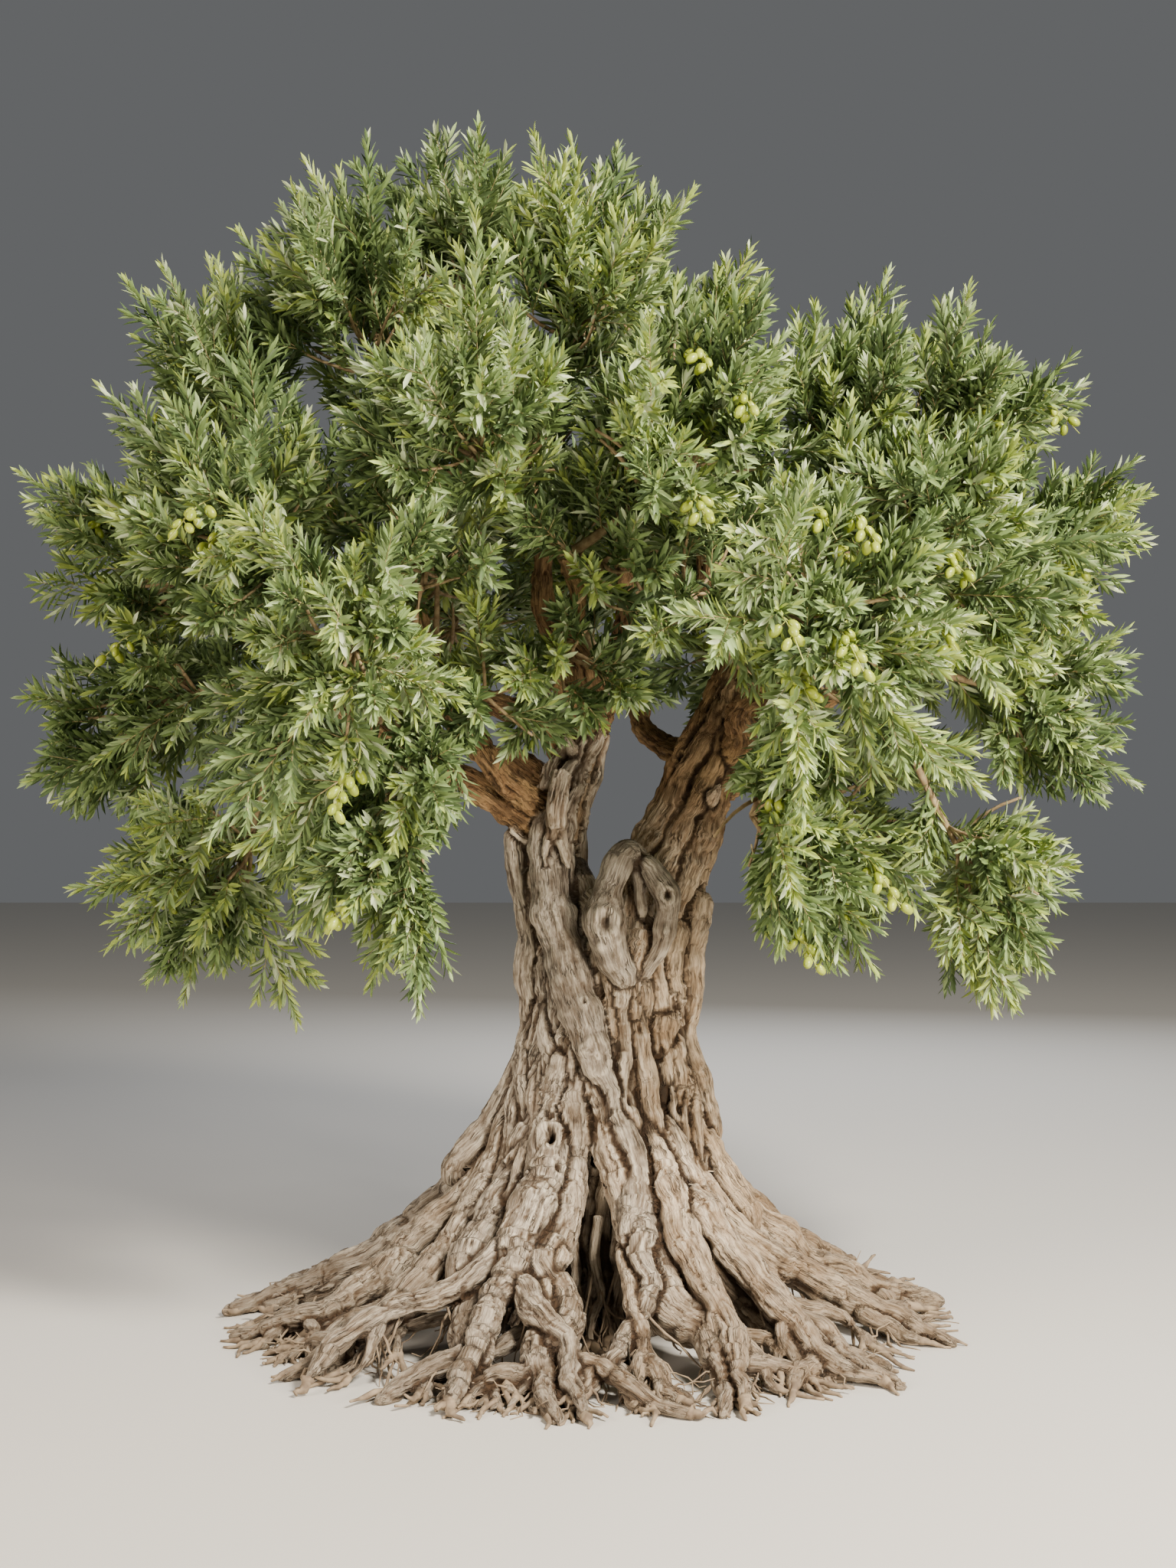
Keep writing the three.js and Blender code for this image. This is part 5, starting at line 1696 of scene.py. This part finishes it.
outer = [p for p in plumes if 0.62 < crown_share(p["foot"][None])[0] < 0.86 and p["foot"][2] > 1.3]
bearing = [outer[k] for k in pick.permutation(len(outer))[:CLUSTERS]]
stem_lines, stalk_lines, olive_points = [], [], []
corners, olive_faces = olive_corners()
for plume in bearing:
    at = pick.uniform(0.45, 0.85)
    piece = plume["shoot"]
    start = piece["foot"] + piece["length"] * (piece["way"] * at + piece["bend"] * at * at / 2)
    outward = unit((start - CROWN_HEART) * [1, 1, 0.2])
    stem = np.linspace(0, 1, 4)[:, None]
    line = start + stem * outward * STEM_OUT - UP * STEM_LENGTH * stem**1.4
    if crown_share(line[-1:])[0] > 0.97:
        continue
    stem_lines.append(line)
    for k in range(pick.integers(5, 10)):
        place = 0.25 + 0.75 * k / 9
        hold = start + place * outward * STEM_OUT - UP * STEM_LENGTH * place**1.4
        spin = k * 2.4 + pick.uniform(-0.4, 0.4)
        way = unit(np.array([math.cos(spin), math.sin(spin), pick.uniform(-1.6, -0.7)]) + outward * 0.3)
        foot = hold + way * 0.014
        stalk_lines.append(np.linspace(hold, foot, 4))
        side = unit(np.cross(way, [0.3, 0.9, 0.1]))
        over = np.cross(way, side)
        size = pick.uniform(0.85, 1.1)
        olive_points.append(foot + size * corners @ np.array([side, over, way]))
olive_piece = repeated_mesh("olives", np.array(olive_points), olive_faces)
stems = np.array(stem_lines + stalk_lines)
stem_radii = np.full(stems.shape[:2], 0.0014)
stem_piece = rod_piece("olive_stems", stems, stem_radii, 4)
wear(olive_piece, drifting_material("unripe olive skin", "#82922a", "#a0ad3e", 0.32, 0.04, 0.5))
wear(stem_piece, drifting_material("olive stem", "#8f9a4c", "#a5a860", 0.6, 0.02))
foliage_pieces += [shoot_piece, twig_piece, olive_piece, stem_piece]

mass_names = [mass["name"] for mass in masses]
for piece in foliage_pieces:
    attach(piece, "root")
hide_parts(*mass_names)


# ---------- Root tips and rootlets ----------
# They are too thin for the skin: fingers at the ends of the roots, and rootlets under their arches.

ROOT_RINGS, ROOT_SIDES = 8, 6
ROOTLETS = 620
thin_lines, thin_radii = [], []


def thin_root(start, way, length, foot, tip, waver, drop):
    """A thin root that leaves a place on a level way, wavers and drops to the ground."""
    length = kept_short(start, way, length, FINGERS_REACH)
    share = np.linspace(0, 1, ROOT_RINGS)
    stray = np.cumsum(roll.normal(0, waver, (ROOT_RINGS, 3)), axis=0) * share[:, None]
    radius = mix(foot, tip, share) * (1 + 0.2 * np.sin(share * 15 + roll.uniform(0, 6)))
    line = start + np.append(way, 0) * length * share[:, None] + stray
    line[:, 2] = np.maximum(start[2] * (1 - share) ** drop + stray[:, 2], radius)
    thin_lines.append(line)
    thin_radii.append(radius)


for number, (place, way, radius) in enumerate(root_ends):
    for bearing in (-24, 20) if number % 3 else (6,):
        finger_way = level_turned(way, bearing + roll.uniform(-10, 10))
        foot = np.clip(radius * 1.4, 0.010, 0.017)
        thin_root(place, finger_way, roll.uniform(0.06, 0.12), foot, 0.003, 0.006, 0.8)
arches = []  # the lines of the strands that come down to the ground
for strand in strands:
    if strand["line"][:, 2].min() < 0.06 and strand["thick"][0] < 0.1:
        arches.append(strand["line"])
for k in range(ROOTLETS):
    line = arches[roll.integers(len(arches))]
    low = line[(line[:, 2] > 0.03) & (line[:, 2] < 0.24) & (np.hypot(line[:, 0], line[:, 1]) < 0.85)]
    if len(low) == 0:
        continue
    start = low[roll.integers(len(low))]
    way = level_turned(unit(start[:2]), roll.uniform(-75, 75))
    length, foot, drop = roll.uniform(0.06, 0.18), roll.uniform(0.003, 0.006), roll.uniform(0.9, 2)
    thin_root(start, way, length, foot, 0.0012, 0.012, drop)

thin_piece = rod_piece("rootlets", np.array(thin_lines), np.array(thin_radii), ROOT_SIDES)
wear(thin_piece, drifting_material("olive rootlet bark", "#6d5e4e", "#988770", 0.8, 0.030, 0.25))
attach(thin_piece, "root")


# ---------- Floor, light and camera ----------

deselect()
bpy.ops.mesh.primitive_plane_add(size=40)
floor = bpy.context.object
floor.name = "floor"
floor_material, floor_shader = new_material("matt studio floor", Roughness=0.9)
floor_shader.inputs["Base Color"].default_value = linear("#cdcac3")
wear(floor, floor_material)


def area_light(name, place, aim, size, power, colour):
    data = bpy.data.lights.new(name, "AREA")
    data.energy = power
    data.size = size
    data.color = linear(colour)[:3]
    light = bpy.data.objects.new(name, data)
    bpy.context.scene.collection.objects.link(light)
    light.location = place
    light.rotation_euler = (Vector(aim) - Vector(place)).to_track_quat("-Z", "Y").to_euler()


area_light("key", (3.4, -4.4, 5.4), (0, 0, 1.3), 1.5, 1300, "#fff6e8")
area_light("low", (3.2, -5.2, 1.3), (0, 0, 0.9), 1.2, 330, "#fff2e2")
area_light("fill", (-4.6, -3.6, 2.6), (0, 0, 1.3), 2.6, 320, "#fff0e0")
area_light("back", (1.5, 6.0, 4.5), (0, 0, 1.8), 4.0, 260, "#eef4ff")

world = bpy.data.worlds.new("studio")
bpy.context.scene.world = world
world.use_nodes = True
background = world.node_tree.nodes["Background"]
background.inputs["Color"].default_value = linear("#eef1f4")
background.inputs["Strength"].default_value = 0.15

camera_data = bpy.data.cameras.new("camera")
camera_data.sensor_width = 36
camera_data.lens = 47.8
camera = bpy.data.objects.new("camera", camera_data)
camera.location = (0, -5.8, 1.47)
camera.rotation_euler = (math.pi / 2, 0, 0)
bpy.context.scene.collection.objects.link(camera)
bpy.context.scene.camera = camera
